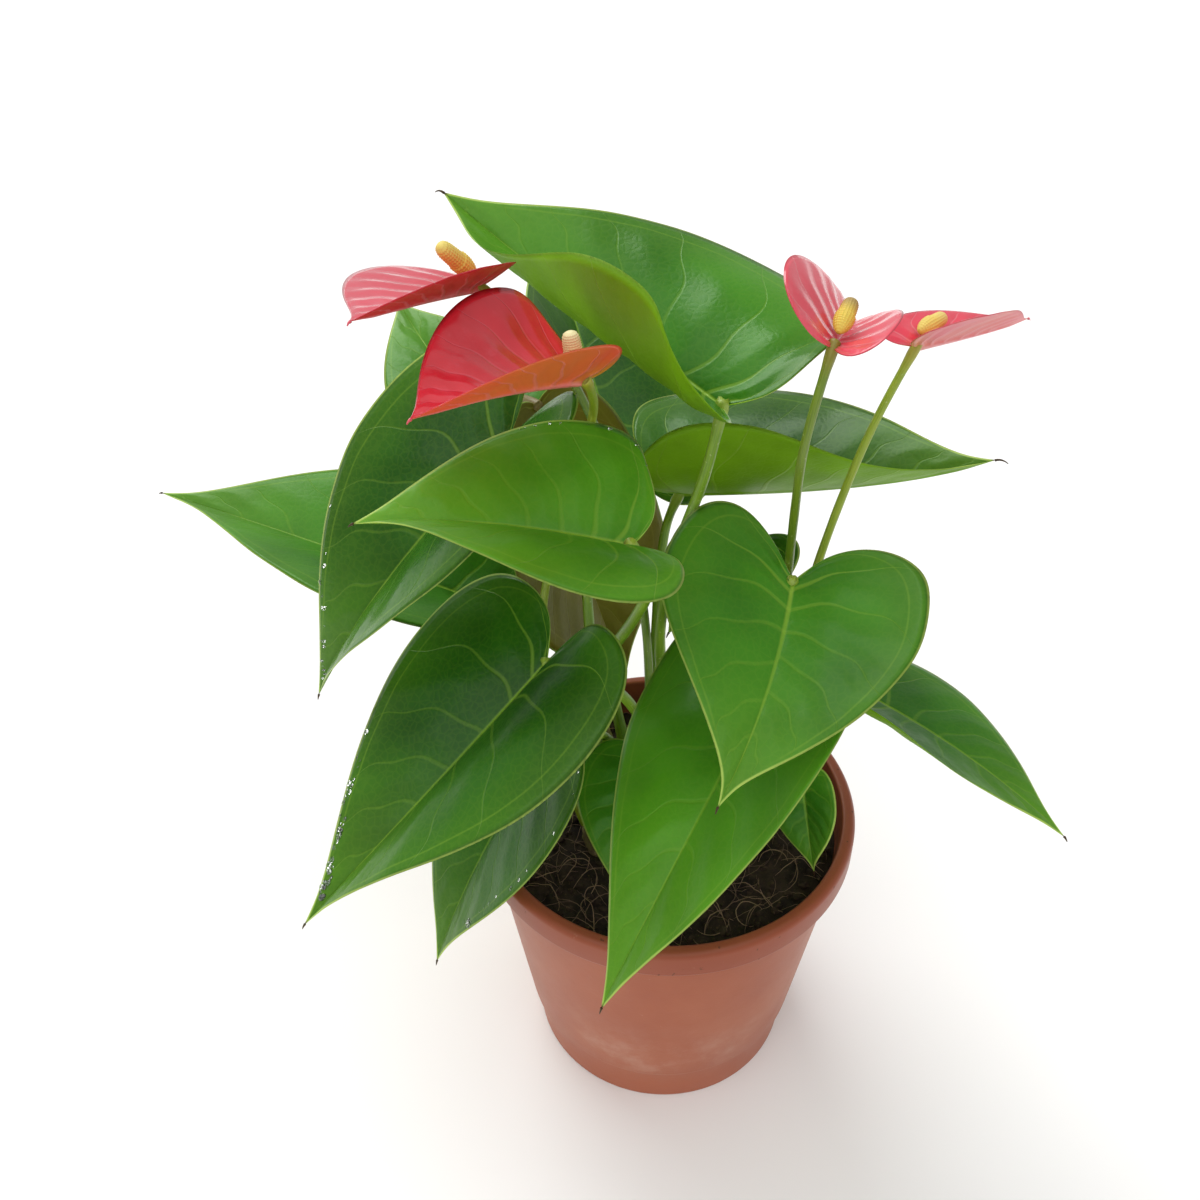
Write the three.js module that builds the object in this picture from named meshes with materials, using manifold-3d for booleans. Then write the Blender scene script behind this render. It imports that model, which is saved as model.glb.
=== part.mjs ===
// A flamingo plant (anthurium) in a round nursery pot, as a standalone three.js model.
// Millimetres, +Z up. The origin is the middle of the pot's flat foot, and the plant faces -Y.
import * as THREE from "three";
import { mergeVertices } from "three/addons/utils/BufferGeometryUtils.js";
import Module from "manifold-3d";

// Clearance left between two pieces that touch on the real plant.
const GAP = 0.3;

// Pot.
const POT_HEIGHT = 110;
const RIM_RADIUS = 65;
const MOUTH_RADIUS = 60.5;
const LIP_DROP = 11;
const LIP_ROUND = 2.4;
const MOUTH_ROUND = 1;
// The lip's lower edge: how far in it starts, and how far up it starts and ends.
const LIP_BEVEL = [0.8, 0.6, 2];
const WALL = 1.8;
const SHOULDER_RADIUS = 61.4;
const WAIST_RADIUS = 50.5;
const WAIST_HEIGHT = 19;
const FOOT_RADIUS = 47.5;
const FOOT_STEP = 1.2;
const FOOT_BEVEL = 1;
const WAIST_BEVEL = 1;
const FLOOR = 2.5;
const DRAIN_RADIUS = 4;
const DRAIN_CIRCLE = 36;
const DRAIN_COUNT = 8;
const DRAIN_SIDES = 16;
const POT_SIDES = 48;

// Potting mix.
const MIX_BELOW_RIM = 13;
const MIX_RIPPLE = 1.1;
const MIX_RINGS = 5;

// Short stems that the stalks grow from.
const STEM_RADIUS = 10;
const STEM_RISE = 9;
const STEM_DEPTH = 9;
const STEM_CHAMFER = 0.4;
const STEM_SIDES = 16;

// Stalks: leaf petioles and flower peduncles.
const PETIOLE_BASE_RADIUS = 2.3;
const PETIOLE_TOP_RADIUS = 1.5;
const PEDUNCLE_BASE_RADIUS = 1.7;
const PEDUNCLE_TOP_RADIUS = 1.15;
const STALK_SIDES = 8;
const STALK_STEPS = 9;
const STALK_SPLAY = 0.3;

// Blades: leaves and spathes.
const LEAF_THICKNESS = 0.8;
const SPATHE_THICKNESS = 0.9;
const KEEL = 0.7;
const ROWS = 12;
const COLUMNS = 3;
const LOBE_SHARE = 0.45;
const TRACE_STEPS = 60;

// How far in from the rim, along X and Y, the leaf that hangs over the front left of it starts.
const LOW_LEAF_INSET = [27, 53];

// Spadices.
const SPADIX_RADIUS = 2.5;
const SPADIX_SIDES = 12;

// Each blade: its length from the stalk to the tip and its width, both flat, its outline (how far the
// back lobes reach, how open they stand, where the blade is widest and how drawn-out the tip is), where
// it meets its stalk, measured from the middle of the pot and up from the mix, the way it points, and
// how it bends: the droop and swing of its midrib, the sag of its back lobes, and the fold and further
// curl of its right and left halves. Angles are in degrees, and a heading of 0 points to +X.
const leaves = [
  {
    name: "leaf_top_back", stem: "right", length: 112, width: 98,
    lobe: 0.22, gape: 0.24, station: 0.15, point: 0.19,
    at: [11, -1, 167], heading: 130, pitch: 10, roll: -2,
    droop: -18, swing: -15, sag: -55, fold: [48, 10], curl: [-32, 44],
    seat: 150, arrive: 45, bow: [-20, 11],
  },
  {
    name: "leaf_right_back", stem: "back", length: 101, width: 102,
    lobe: 0.23, gape: 0.25, station: 0.15, point: 0.12,
    at: [5, 49, 107], heading: -6, pitch: 4, roll: -12,
    droop: -28, swing: 9, sag: -23, fold: [46, 24], curl: [22, -23],
    seat: 45, arrive: 70, bow: [-2, 4],
  },
  {
    name: "leaf_middle", stem: "left", length: 70, width: 71,
    lobe: 0.18, gape: 0.31, station: 0.17, point: 0.17,
    at: [-14, -40, 149], heading: 184, pitch: 17, roll: -14,
    droop: 22, swing: 10, sag: -49, fold: [45, 18], curl: [-6, -20],
    seat: 155, arrive: 45, bow: [-2, 14],
  },
  {
    name: "leaf_left_dark", stem: "back", length: 106, width: 83,
    lobe: 0.27, gape: 0.21, station: 0.17, point: 0.14,
    at: [-48, 18, 146], heading: 209, pitch: -38, roll: 2,
    droop: 31, swing: 13, sag: 0, fold: [31, 34], curl: [-6, -12],
    seat: 185, arrive: 75, bow: [4, 4],
  },
  {
    name: "leaf_far_left", stem: "left", length: 123, width: 89,
    lobe: 0.15, gape: 0.22, station: 0.2, point: 0.1,
    at: [-66, 41, 70], heading: 163, pitch: 12, roll: 0,
    droop: 8, swing: 5, sag: -13, fold: [28, 31], curl: [-10, -8],
    seat: 110, arrive: 55, bow: [0, 0],
  },
  {
    name: "leaf_right_heart", stem: "right", length: 73, width: 75,
    lobe: 0.28, gape: 0.32, station: 0.16, point: 0.02,
    at: [32, -19, 121], heading: 257, pitch: -14, roll: 30,
    droop: 18, swing: 11, sag: -25, fold: [-7, 27], curl: [0, 16],
    seat: 250, arrive: 80, bow: [14, 0],
  },
  {
    name: "leaf_front", stem: "right", length: 109, width: 76,
    lobe: 0.28, gape: 0.22, station: 0.11, point: 0.14,
    at: [28, -21, 88], heading: 242, pitch: -18, roll: 2,
    droop: 40, swing: 12, sag: 0, fold: [-2, 32], curl: [-14, 7],
    seat: 85, arrive: 70, bow: [6, -6],
  },
  {
    name: "leaf_front_left", stem: "left", length: 107, width: 82,
    lobe: 0.23, gape: 0.26, station: 0.14, point: 0.13,
    at: [-38, -21, 94], heading: 218, pitch: -32, roll: -19,
    droop: 8, swing: 15, sag: -40, fold: [40, 22], curl: [-11, -27],
    seat: 15, arrive: 70, bow: [4, 4],
  },
  {
    name: "leaf_low_left", stem: "left", length: 88, width: 68,
    lobe: 0.13, gape: 0.15, station: 0.21, point: 0.19,
    at: [LOW_LEAF_INSET[0] - RIM_RADIUS, LOW_LEAF_INSET[1] - RIM_RADIUS, 54],
    heading: 216, pitch: -47, roll: -6,
    droop: 18, swing: -2, sag: -8, fold: [16, 20], curl: [-7, -6],
    seat: 60, arrive: 50, bow: [2, 4],
  },
  {
    name: "leaf_low_middle", stem: "left", length: 44, width: 48,
    lobe: 0.22, gape: 0.22, station: 0.15, point: 0.14,
    at: [-5, -12, 38], heading: 248, pitch: -34, roll: 0,
    droop: 24, swing: -4, sag: 0, fold: [15, 14], curl: [-8, -8],
    seat: 315, arrive: 75, bow: [0, 0],
  },
  {
    name: "leaf_right_low", stem: "right", length: 73, width: 58,
    lobe: 0.28, gape: 0.22, station: 0.13, point: 0.09,
    at: [61, -5, 66], heading: -42, pitch: -2, roll: 5,
    droop: 19, swing: 4, sag: 0, fold: [8, -2], curl: [26, -3],
    seat: 335, arrive: 85, bow: [-2, 0],
  },
  {
    name: "leaf_small_right", stem: "right", length: 34, width: 28,
    lobe: 0.26, gape: 0.2, station: 0.16, point: 0.07,
    at: [42, -19, 42], heading: 285, pitch: -62, roll: -30,
    droop: 13, swing: 0, sag: -21, fold: [0, 40], curl: [-11, -2],
    seat: 295, arrive: 70, bow: [-2, -8],
  },
  {
    name: "leaf_back_upright", stem: "back", length: 115, width: 75,
    lobe: 0.28, gape: 0.22, station: 0.13, point: 0.15,
    at: [-15, 94, 95], heading: 111, pitch: 35, roll: -2,
    droop: 30, swing: 13, sag: 0, fold: [12, 33], curl: [-10, 4],
    seat: 95, arrive: 70, bow: [-10, 4],
  },
  {
    name: "leaf_left_small", stem: "back", length: 78, width: 56,
    lobe: 0.28, gape: 0.22, station: 0.13, point: 0.16,
    at: [-56, 72, 119], heading: 132, pitch: 16, roll: 15,
    droop: 11, swing: 18, sag: 0, fold: [20, 15], curl: [-11, -8],
    seat: 230, arrive: 65, bow: [-8, 4],
  },
  {
    name: "leaf_right_hidden", stem: "right", length: 42, width: 44,
    lobe: 0.3, gape: 0.2, station: 0.25, point: 0.17,
    at: [27, 38, 94], heading: 221, pitch: -20, roll: 0,
    droop: 5, swing: -8, sag: 0, fold: [13, 10], curl: [-7, -8],
    seat: 190, arrive: 70, bow: [0, 0],
  },
  {
    name: "leaf_young_bronze", stem: "back", length: 117, width: 63,
    lobe: 0.07, gape: 0.16, station: 0.52, point: 0.38,
    at: [-41, 44, 143], heading: 350, pitch: -79, roll: -42,
    droop: 0, swing: -8, sag: 0, fold: [19, 17], curl: [0, -2],
    seat: 140, arrive: 70, bow: [-2, 4],
  },
];

// The reach of a spathe is the share of its half width that its right and left halves come to. The
// spadix leans forward from the spathe's face by an angle of its own.
const flowers = [
  {
    name: "left", stem: "back", length: 52, width: 54,
    lobe: 0.16, gape: 0.24, station: 0.15, point: 0.14,
    at: [-51, -5, 203], heading: 237, pitch: 13, roll: -7,
    droop: 1, swing: -11, sag: -10, fold: [4, 42], curl: [4, -20], reach: [1, 0.5],
    seat: 285, arrive: 25, bow: [6, 2],
    spadix: 13, lean: 32,
  },
  {
    name: "front", stem: "left", length: 57, width: 62,
    lobe: 0.13, gape: 0.24, station: 0.12, point: 0.16,
    at: [-25, -26, 188], heading: 221, pitch: 15, roll: -8,
    droop: 6, swing: -16, sag: -24, fold: [11, 44], curl: [25, 4], reach: [1, 0.5],
    seat: 190, arrive: 35, bow: [-16, 32],
    spadix: 8, lean: 70,
  },
  {
    name: "right_back", stem: "right", length: 40, width: 47,
    lobe: 0.25, gape: 0.24, station: 0.13, point: 0.12,
    at: [35, -21, 193], heading: 68, pitch: -4, roll: -9,
    droop: 29, swing: 2, sag: 9, fold: [33, 49], curl: [8, -5], reach: [0.7, 1],
    seat: 45, arrive: 40, bow: [4, 8],
    spadix: 8, lean: 30,
  },
  {
    name: "right", stem: "right", length: 55, width: 51,
    lobe: 0.21, gape: 0.22, station: 0.13, point: 0.13,
    at: [65, 14, 176], heading: 35, pitch: -8, roll: 13,
    droop: -1, swing: -7, sag: 1, fold: [34, 45], curl: [-6, -12], reach: [0.8, 0.45],
    seat: 10, arrive: 65, bow: [-8, 6],
    spadix: 8, lean: 15,
  },
];

const stems = {
  left: [-20, -6],
  back: [-12, 17],
  right: [22, 2],
};

const colours = {
  pot: new THREE.MeshStandardMaterial({ color: 0xb5613f, roughness: 0.45, metalness: 0 }),
  mix: new THREE.MeshStandardMaterial({ color: 0x33261c, roughness: 0.95, metalness: 0 }),
  stem: new THREE.MeshStandardMaterial({ color: 0x6b6a38, roughness: 0.7, metalness: 0 }),
  stalk: new THREE.MeshStandardMaterial({ color: 0x7d8f3a, roughness: 0.45, metalness: 0 }),
  leaf: new THREE.MeshStandardMaterial({ color: 0x2c5a26, roughness: 0.3, metalness: 0 }),
  young: new THREE.MeshStandardMaterial({ color: 0x6b4426, roughness: 0.35, metalness: 0 }),
  spathe: new THREE.MeshStandardMaterial({ color: 0xb3122c, roughness: 0.2, metalness: 0 }),
  spadix: new THREE.MeshStandardMaterial({ color: 0xd9c04a, roughness: 0.6, metalness: 0 }),
};

const MIX_LEVEL = POT_HEIGHT - MIX_BELOW_RIM;
const radians = THREE.MathUtils.degToRad;
const wasm = await Module();
wasm.setup();

function addMesh(group, name, geometry, material) {
  const mesh = new THREE.Mesh(geometry, material);
  mesh.name = name;
  group.add(mesh);
  return mesh;
}

// Booleans.

function solidOf(geometry) {
  const bare = geometry.clone();
  bare.deleteAttribute("normal");
  bare.deleteAttribute("uv");
  const merged = mergeVertices(bare, 1e-3);
  const mesh = new wasm.Mesh({
    numProp: 3,
    vertProperties: merged.attributes.position.array,
    triVerts: new Uint32Array(merged.index.array),
  });
  return new wasm.Manifold(mesh);
}

function geometryOf(solid) {
  const { vertProperties, triVerts } = solid.getMesh();
  const geometry = new THREE.BufferGeometry();
  geometry.setAttribute("position", new THREE.BufferAttribute(vertProperties, 3));
  geometry.setIndex(new THREE.BufferAttribute(triVerts, 1));
  return geometry;
}

// A solid of revolution about Z. The profile runs up its outside, from the axis and back to it.
function turned(profile, sides) {
  const points = profile.map(([radius, height]) => new THREE.Vector2(radius, height));
  return new THREE.LatheGeometry(points, sides).rotateX(Math.PI / 2);
}

// Pot.

function innerRadius(height) {
  const shoulder = POT_HEIGHT - LIP_DROP;
  const rise = (height - WAIST_HEIGHT) / (shoulder - WAIST_HEIGHT);
  const outer = THREE.MathUtils.lerp(WAIST_RADIUS, SHOULDER_RADIUS, rise);
  return Math.min(outer, SHOULDER_RADIUS) - WALL;
}

function footRadius(height) {
  return FOOT_RADIUS + (WAIST_RADIUS - FOOT_STEP - FOOT_RADIUS) * (height / WAIST_HEIGHT);
}

function quarter(centre, radius, from, to, steps) {
  const points = [];
  for (let i = 0; i <= steps; i++) {
    const angle = radians(from + ((to - from) * i) / steps);
    points.push([centre[0] + radius * Math.cos(angle), centre[1] + radius * Math.sin(angle)]);
  }
  return points;
}

function makePot() {
  const shoulder = POT_HEIGHT - LIP_DROP;
  const outerLip = [RIM_RADIUS - LIP_ROUND, POT_HEIGHT - LIP_ROUND];
  const innerLip = [MOUTH_RADIUS + MOUTH_ROUND, POT_HEIGHT - MOUTH_ROUND];
  const [bevelIn, bevelLow, bevelHigh] = LIP_BEVEL;
  const profile = [
    [0, 0],
    [FOOT_RADIUS - FOOT_BEVEL, 0],
    [FOOT_RADIUS, FOOT_BEVEL],
    [footRadius(WAIST_HEIGHT - WAIST_BEVEL), WAIST_HEIGHT - WAIST_BEVEL],
    [WAIST_RADIUS, WAIST_HEIGHT + WAIST_BEVEL],
    [SHOULDER_RADIUS, shoulder],
    [RIM_RADIUS - bevelIn, shoulder + bevelLow],
    [RIM_RADIUS, shoulder + bevelHigh],
    ...quarter(outerLip, LIP_ROUND, 0, 90, 3),
    ...quarter(innerLip, MOUTH_ROUND, 90, 180, 2),
    [innerRadius(shoulder), shoulder],
    [innerRadius(WAIST_HEIGHT), WAIST_HEIGHT + WAIST_BEVEL],
    [footRadius(WAIST_HEIGHT) - WALL, WAIST_HEIGHT - 1.5 * WAIST_BEVEL],
    [footRadius(FLOOR) - WALL, FLOOR],
    [0, FLOOR],
  ];
  let pot = solidOf(turned(profile, POT_SIDES));
  for (let i = 0; i < DRAIN_COUNT; i++) {
    const drain = new THREE.CylinderGeometry(DRAIN_RADIUS, DRAIN_RADIUS, 4 * FLOOR, DRAIN_SIDES);
    const turn = (2 * Math.PI * i) / DRAIN_COUNT;
    drain.rotateX(Math.PI / 2);
    drain.translate(DRAIN_CIRCLE * Math.cos(turn), DRAIN_CIRCLE * Math.sin(turn), FLOOR / 2);
    pot = pot.subtract(solidOf(drain));
  }
  return geometryOf(pot);
}

// Stems.

function stemProfile(clearance) {
  const radius = STEM_RADIUS + clearance;
  return [
    [0, -STEM_DEPTH - clearance],
    [radius, -STEM_DEPTH - clearance],
    [radius, STEM_RISE + clearance - STEM_CHAMFER],
    [radius - STEM_CHAMFER, STEM_RISE + clearance],
    [0, STEM_RISE + clearance],
  ];
}

function makeStem(place, clearance) {
  const stem = turned(stemProfile(clearance), STEM_SIDES);
  return stem.translate(place[0], place[1], MIX_LEVEL);
}

// Potting mix, with a rippled top, and a socket for each stem.

function ripple(x, y) {
  return MIX_RIPPLE * Math.sin(x / 7 + 1) * Math.sin(y / 9) + 0.5 * MIX_RIPPLE * Math.sin((x - y) / 4);
}

function makeMix() {
  const edge = innerRadius(MIX_LEVEL) - GAP;
  const low = FLOOR + GAP;
  const profile = [
    [0, low],
    [footRadius(FLOOR) - WALL - GAP, low],
    [footRadius(WAIST_HEIGHT) - WALL - GAP, WAIST_HEIGHT - 1.5 * WAIST_BEVEL],
    [innerRadius(WAIST_HEIGHT) - GAP, WAIST_HEIGHT + WAIST_BEVEL],
    [edge, MIX_LEVEL],
  ];
  for (let i = MIX_RINGS - 1; i >= 0; i--) {
    profile.push([(edge * i) / MIX_RINGS, MIX_LEVEL]);
  }
  const geometry = turned(profile, POT_SIDES);
  const points = geometry.attributes.position;
  for (let i = 0; i < points.count; i++) {
    const inside = Math.hypot(points.getX(i), points.getY(i)) < edge - 1;
    if (points.getZ(i) > MIX_LEVEL - 1 && inside) {
      points.setZ(i, MIX_LEVEL + ripple(points.getX(i), points.getY(i)));
    }
  }
  let mix = solidOf(geometry);
  for (const place of Object.values(stems)) {
    mix = mix.subtract(solidOf(makeStem(place, GAP)));
  }
  return geometryOf(mix);
}

// Blades. A blade's own frame has its stalk at the origin, its midrib along +Y and its face up (+Z).

// The midrib's place and direction at each of many even steps, behind and ahead of the stalk.
function traceMidrib(blade) {
  const step = blade.length / TRACE_STEPS;
  const trace = (sign, count) => {
    const found = [];
    const point = new THREE.Vector3();
    let before = null;
    for (let i = 0; i <= count; i++) {
      const share = (i * step) / blade.length;
      const droop = sign > 0 ? -radians(blade.droop) * share ** 1.5 : radians(blade.sag) * (share / 0.3);
      const swing = sign > 0 ? radians(blade.swing) * share : 0;
      const along = new THREE.Vector3(
        Math.sin(swing) * Math.cos(droop),
        Math.cos(swing) * Math.cos(droop),
        Math.sin(droop),
      );
      if (before) {
        point.addScaledVector(before, (sign * step) / 2);
        point.addScaledVector(along, (sign * step) / 2);
      }
      const across = new THREE.Vector3(Math.cos(swing), -Math.sin(swing), 0);
      const up = new THREE.Vector3().crossVectors(across, along);
      found.push({ point: point.clone(), across, up });
      before = along;
    }
    return found;
  };
  const back = trace(-1, TRACE_STEPS);
  const front = trace(1, TRACE_STEPS + 2);
  return (offset) => {
    const list = offset < 0 ? back : front;
    const place = Math.abs(offset) / step;
    const index = Math.min(Math.floor(place), list.length - 2);
    const share = place - index;
    return {
      point: list[index].point.clone().lerp(list[index + 1].point, share),
      across: list[index].across.clone().lerp(list[index + 1].across, share).normalize(),
      up: list[index].up.clone().lerp(list[index + 1].up, share).normalize(),
    };
  };
}

// One half of the flat outline: share 0 is the stalk, between the back lobes, and 1 is the tip.
function outlineCurve(blade) {
  const half = blade.width / 2;
  const length = blade.length;
  const lobeDepth = blade.lobe * length;
  const widest = blade.station * length;
  const lobe = new THREE.CubicBezierCurve(
    new THREE.Vector2(0, 0),
    new THREE.Vector2(blade.gape * half, -1.1 * lobeDepth),
    new THREE.Vector2(half, -1.2 * lobeDepth),
    new THREE.Vector2(half, widest),
  );
  const body = new THREE.CubicBezierCurve(
    new THREE.Vector2(half, widest),
    new THREE.Vector2(half, widest + 0.42 * (length - widest)),
    new THREE.Vector2(blade.point * half, 0.78 * length),
    new THREE.Vector2(0, length),
  );
  return (share) =>
    share <= LOBE_SHARE
      ? lobe.getPoint(share / LOBE_SHARE)
      : body.getPoint((share - LOBE_SHARE) / (1 - LOBE_SHARE));
}

// Bends a flat point of the blade into place, and gives the direction out of its face there.
function bend(blade, midrib, x, y) {
  const { point, across, up } = midrib(y);
  const half = blade.width / 2;
  const side = x < 0 ? 1 : 0;
  const reach = Math.abs(x);
  const angle = radians(blade.fold[side] + (blade.curl[side] * reach) / half);
  const out = across.clone().multiplyScalar(x < 0 ? -1 : 1);
  const place = point.clone();
  place.addScaledVector(out, reach * Math.cos(angle));
  place.addScaledVector(up, reach * Math.sin(angle));
  const face = up.clone().multiplyScalar(Math.cos(angle));
  face.addScaledVector(out, -Math.sin(angle));
  return { place, face: reach > 0 ? face : up.clone() };
}

// A thin closed body with a sharp edge all round and a keel under the midrib. Rows of points run from
// the midrib out to the edge, on the face and on the back, between one point at each end.
function makeBlade(blade, thickness) {
  const midrib = traceMidrib(blade);
  const outline = outlineCurve(blade);
  const reach = blade.reach ?? [1, 1];
  const positions = [];
  const indices = [];
  const add = (point) => positions.push(point.x, point.y, point.z) / 3 - 1;
  const ends = [0, blade.length].map((y) => add(bend(blade, midrib, 0, y).place));
  const grid = { face: [[], []], back: [[], []] };
  for (let row = 1; row < ROWS; row++) {
    const share = row / ROWS;
    const edge = outline(share);
    const rib = blade.length * share ** 1.7;
    const width = Math.hypot(edge.x, edge.y - rib);
    const depth = Math.min(thickness, 0.1 * width);
    const keel = KEEL * Math.min(1, 0.08 * width);
    for (const [side, sign] of [[0, 1], [1, -1]]) {
      const face = [];
      const back = [];
      for (let column = 0; column <= COLUMNS; column++) {
        if (column === 0 && side === 1) {
          face.push(grid.face[0][row - 1][0]);
          back.push(grid.back[0][row - 1][0]);
          continue;
        }
        const out = column / COLUMNS;
        const flatY = THREE.MathUtils.lerp(rib, edge.y, out);
        const bent = bend(blade, midrib, sign * edge.x * reach[side] * out, flatY);
        if (column === COLUMNS) {
          const shared = add(bent.place);
          face.push(shared);
          back.push(shared);
          continue;
        }
        const under = column === 0 ? depth / 2 + keel : depth / 2;
        face.push(add(bent.place.clone().addScaledVector(bent.face, depth / 2)));
        back.push(add(bent.place.clone().addScaledVector(bent.face, -under)));
      }
      grid.face[side].push(face);
      grid.back[side].push(back);
    }
  }
  for (const [layer, sides] of Object.entries(grid)) {
    sides.forEach((rows, side) => {
      const outward = (layer === "face") === (side === 0);
      const triangle = (a, b, c) => (outward ? indices.push(a, b, c) : indices.push(a, c, b));
      for (let column = 0; column < COLUMNS; column++) {
        triangle(ends[0], rows[0][column + 1], rows[0][column]);
        for (let row = 0; row + 1 < rows.length; row++) {
          const [a, b] = [rows[row][column], rows[row][column + 1]];
          const [c, d] = [rows[row + 1][column], rows[row + 1][column + 1]];
          triangle(a, b, c);
          triangle(b, d, c);
        }
        const last = rows[rows.length - 1];
        triangle(last[column], last[column + 1], ends[1]);
      }
    });
  }
  const geometry = new THREE.BufferGeometry();
  geometry.setAttribute("position", new THREE.Float32BufferAttribute(positions, 3));
  geometry.setIndex(indices);
  return geometry;
}

// Where a blade meets its stalk, and the way it points, as a group for its pieces.
function placeBlade(blade) {
  const group = new THREE.Group();
  group.position.set(blade.at[0], blade.at[1], MIX_LEVEL + blade.at[2]);
  const turn = new THREE.Matrix4().makeRotationZ(radians(blade.heading - 90));
  turn.multiply(new THREE.Matrix4().makeRotationX(radians(blade.pitch)));
  turn.multiply(new THREE.Matrix4().makeRotationY(-radians(blade.roll)));
  group.quaternion.setFromRotationMatrix(turn);
  return group;
}

// Stalks.

// A tapering tube, with its foot cut level so that it stands flat on its stem.
function makeStalk(path, baseRadius, topRadius) {
  const positions = [];
  const indices = [];
  const frames = path.computeFrenetFrames(STALK_STEPS, false);
  const point = new THREE.Vector3();
  for (let ring = 0; ring <= STALK_STEPS; ring++) {
    const share = ring / STALK_STEPS;
    const radius = THREE.MathUtils.lerp(baseRadius, topRadius, Math.sqrt(share));
    const centre = path.getPointAt(share);
    for (let side = 0; side < STALK_SIDES; side++) {
      const angle = (2 * Math.PI * side) / STALK_SIDES;
      point.copy(centre);
      point.addScaledVector(frames.normals[ring], radius * Math.cos(angle));
      point.addScaledVector(frames.binormals[ring], radius * Math.sin(angle));
      if (ring === 0) {
        point.z = centre.z;
      }
      positions.push(...point);
    }
  }
  const low = positions.push(...path.getPointAt(0)) / 3 - 1;
  const high = positions.push(...path.getPointAt(1)) / 3 - 1;
  for (let side = 0; side < STALK_SIDES; side++) {
    const next = (side + 1) % STALK_SIDES;
    for (let ring = 0; ring < STALK_STEPS; ring++) {
      const a = ring * STALK_SIDES + side;
      const b = ring * STALK_SIDES + next;
      indices.push(a, b, a + STALK_SIDES, b, b + STALK_SIDES, a + STALK_SIDES);
    }
    const top = STALK_STEPS * STALK_SIDES;
    indices.push(low, next, side, high, top + side, top + next);
  }
  const geometry = new THREE.BufferGeometry();
  geometry.setAttribute("position", new THREE.Float32BufferAttribute(positions, 3));
  geometry.setIndex(indices);
  return geometry;
}

// From its seat on the stem, up and outwards, and into its blade from below.
function stalkPath(blade, bladeGroup, baseRadius) {
  const [stemX, stemY] = stems[blade.stem];
  const turn = radians(blade.seat);
  const outward = new THREE.Vector3(Math.cos(turn), Math.sin(turn), 0);
  const start = new THREE.Vector3(stemX, stemY, MIX_LEVEL + STEM_RISE + GAP);
  start.addScaledVector(outward, STEM_RADIUS - STEM_CHAMFER - baseRadius);
  const leave = new THREE.Vector3(0, 0, 1).addScaledVector(outward, STALK_SPLAY).normalize();
  const angle = radians(blade.arrive);
  const arrive = new THREE.Vector3(0, Math.cos(angle), Math.sin(angle));
  arrive.applyQuaternion(bladeGroup.quaternion);
  const end = bladeGroup.position.clone().addScaledVector(arrive, -(GAP + KEEL));
  const reach = start.distanceTo(end);
  const bow = new THREE.Vector3(blade.bow[0], blade.bow[1], 0);
  return new THREE.CubicBezierCurve3(
    start,
    start.clone().addScaledVector(leave, 0.42 * reach).add(bow),
    end.clone().addScaledVector(arrive, -0.28 * reach).add(bow),
    end,
  );
}

// Spadices stand in the fold of the spathe, just ahead of the stalk.

function makeSpadix(flower) {
  const steepest = radians(Math.max(...flower.fold));
  const height = (SPADIX_RADIUS + GAP + SPATHE_THICKNESS / 2) / Math.cos(steepest);
  const profile = [[0, -SPADIX_RADIUS]];
  for (const angle of [-60, -30]) {
    profile.push([SPADIX_RADIUS * Math.cos(radians(angle)), SPADIX_RADIUS * Math.sin(radians(angle))]);
  }
  profile.push([SPADIX_RADIUS, 0]);
  profile.push([0.98 * SPADIX_RADIUS, 0.5 * flower.spadix]);
  profile.push([0.78 * SPADIX_RADIUS, 0.85 * flower.spadix]);
  profile.push([0.45 * SPADIX_RADIUS, 0.97 * flower.spadix]);
  profile.push([0, flower.spadix]);
  const geometry = turned(profile, SPADIX_SIDES);
  geometry.rotateX(-radians(90 - flower.lean));
  return geometry.translate(0, 1.4 * SPADIX_RADIUS, height);
}

// Assembly.

const plant = new THREE.Group();
addMesh(plant, "pot", makePot(), colours.pot);
addMesh(plant, "potting_mix", makeMix(), colours.mix);

for (const [stemName, place] of Object.entries(stems)) {
  addMesh(plant, `stem_${stemName}`, makeStem(place, 0), colours.stem);
}

for (const blade of [...leaves, ...flowers]) {
  const isFlower = flowers.includes(blade);
  const group = placeBlade(blade);
  plant.add(group);
  const baseRadius = isFlower ? PEDUNCLE_BASE_RADIUS : PETIOLE_BASE_RADIUS;
  const topRadius = isFlower ? PEDUNCLE_TOP_RADIUS : PETIOLE_TOP_RADIUS;
  const path = stalkPath(blade, group, baseRadius);
  const stalk = makeStalk(path, baseRadius, topRadius);
  if (isFlower) {
    addMesh(group, `spathe_${blade.name}`, makeBlade(blade, SPATHE_THICKNESS), colours.spathe);
    addMesh(group, `spadix_${blade.name}`, makeSpadix(blade), colours.spadix);
    addMesh(plant, `peduncle_${blade.name}`, stalk, colours.stalk);
  } else {
    const colour = blade.name === "leaf_young_bronze" ? colours.young : colours.leaf;
    addMesh(group, blade.name, makeBlade(blade, LEAF_THICKNESS), colour);
    addMesh(plant, blade.name.replace("leaf", "petiole"), stalk, colours.stalk);
  }
}

export default plant;
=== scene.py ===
"""A potted flamingo plant (anthurium), its finished look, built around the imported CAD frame.

Metres, +Z up. The leaves, spathes and stalks are read back from the CAD nodes as coarse cages,
and each becomes a fine mesh of its own that stands for its node.
"""

import math
import random

import bmesh
import bpy
import numpy as np
from mathutils import Matrix, Vector, noise


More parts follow.
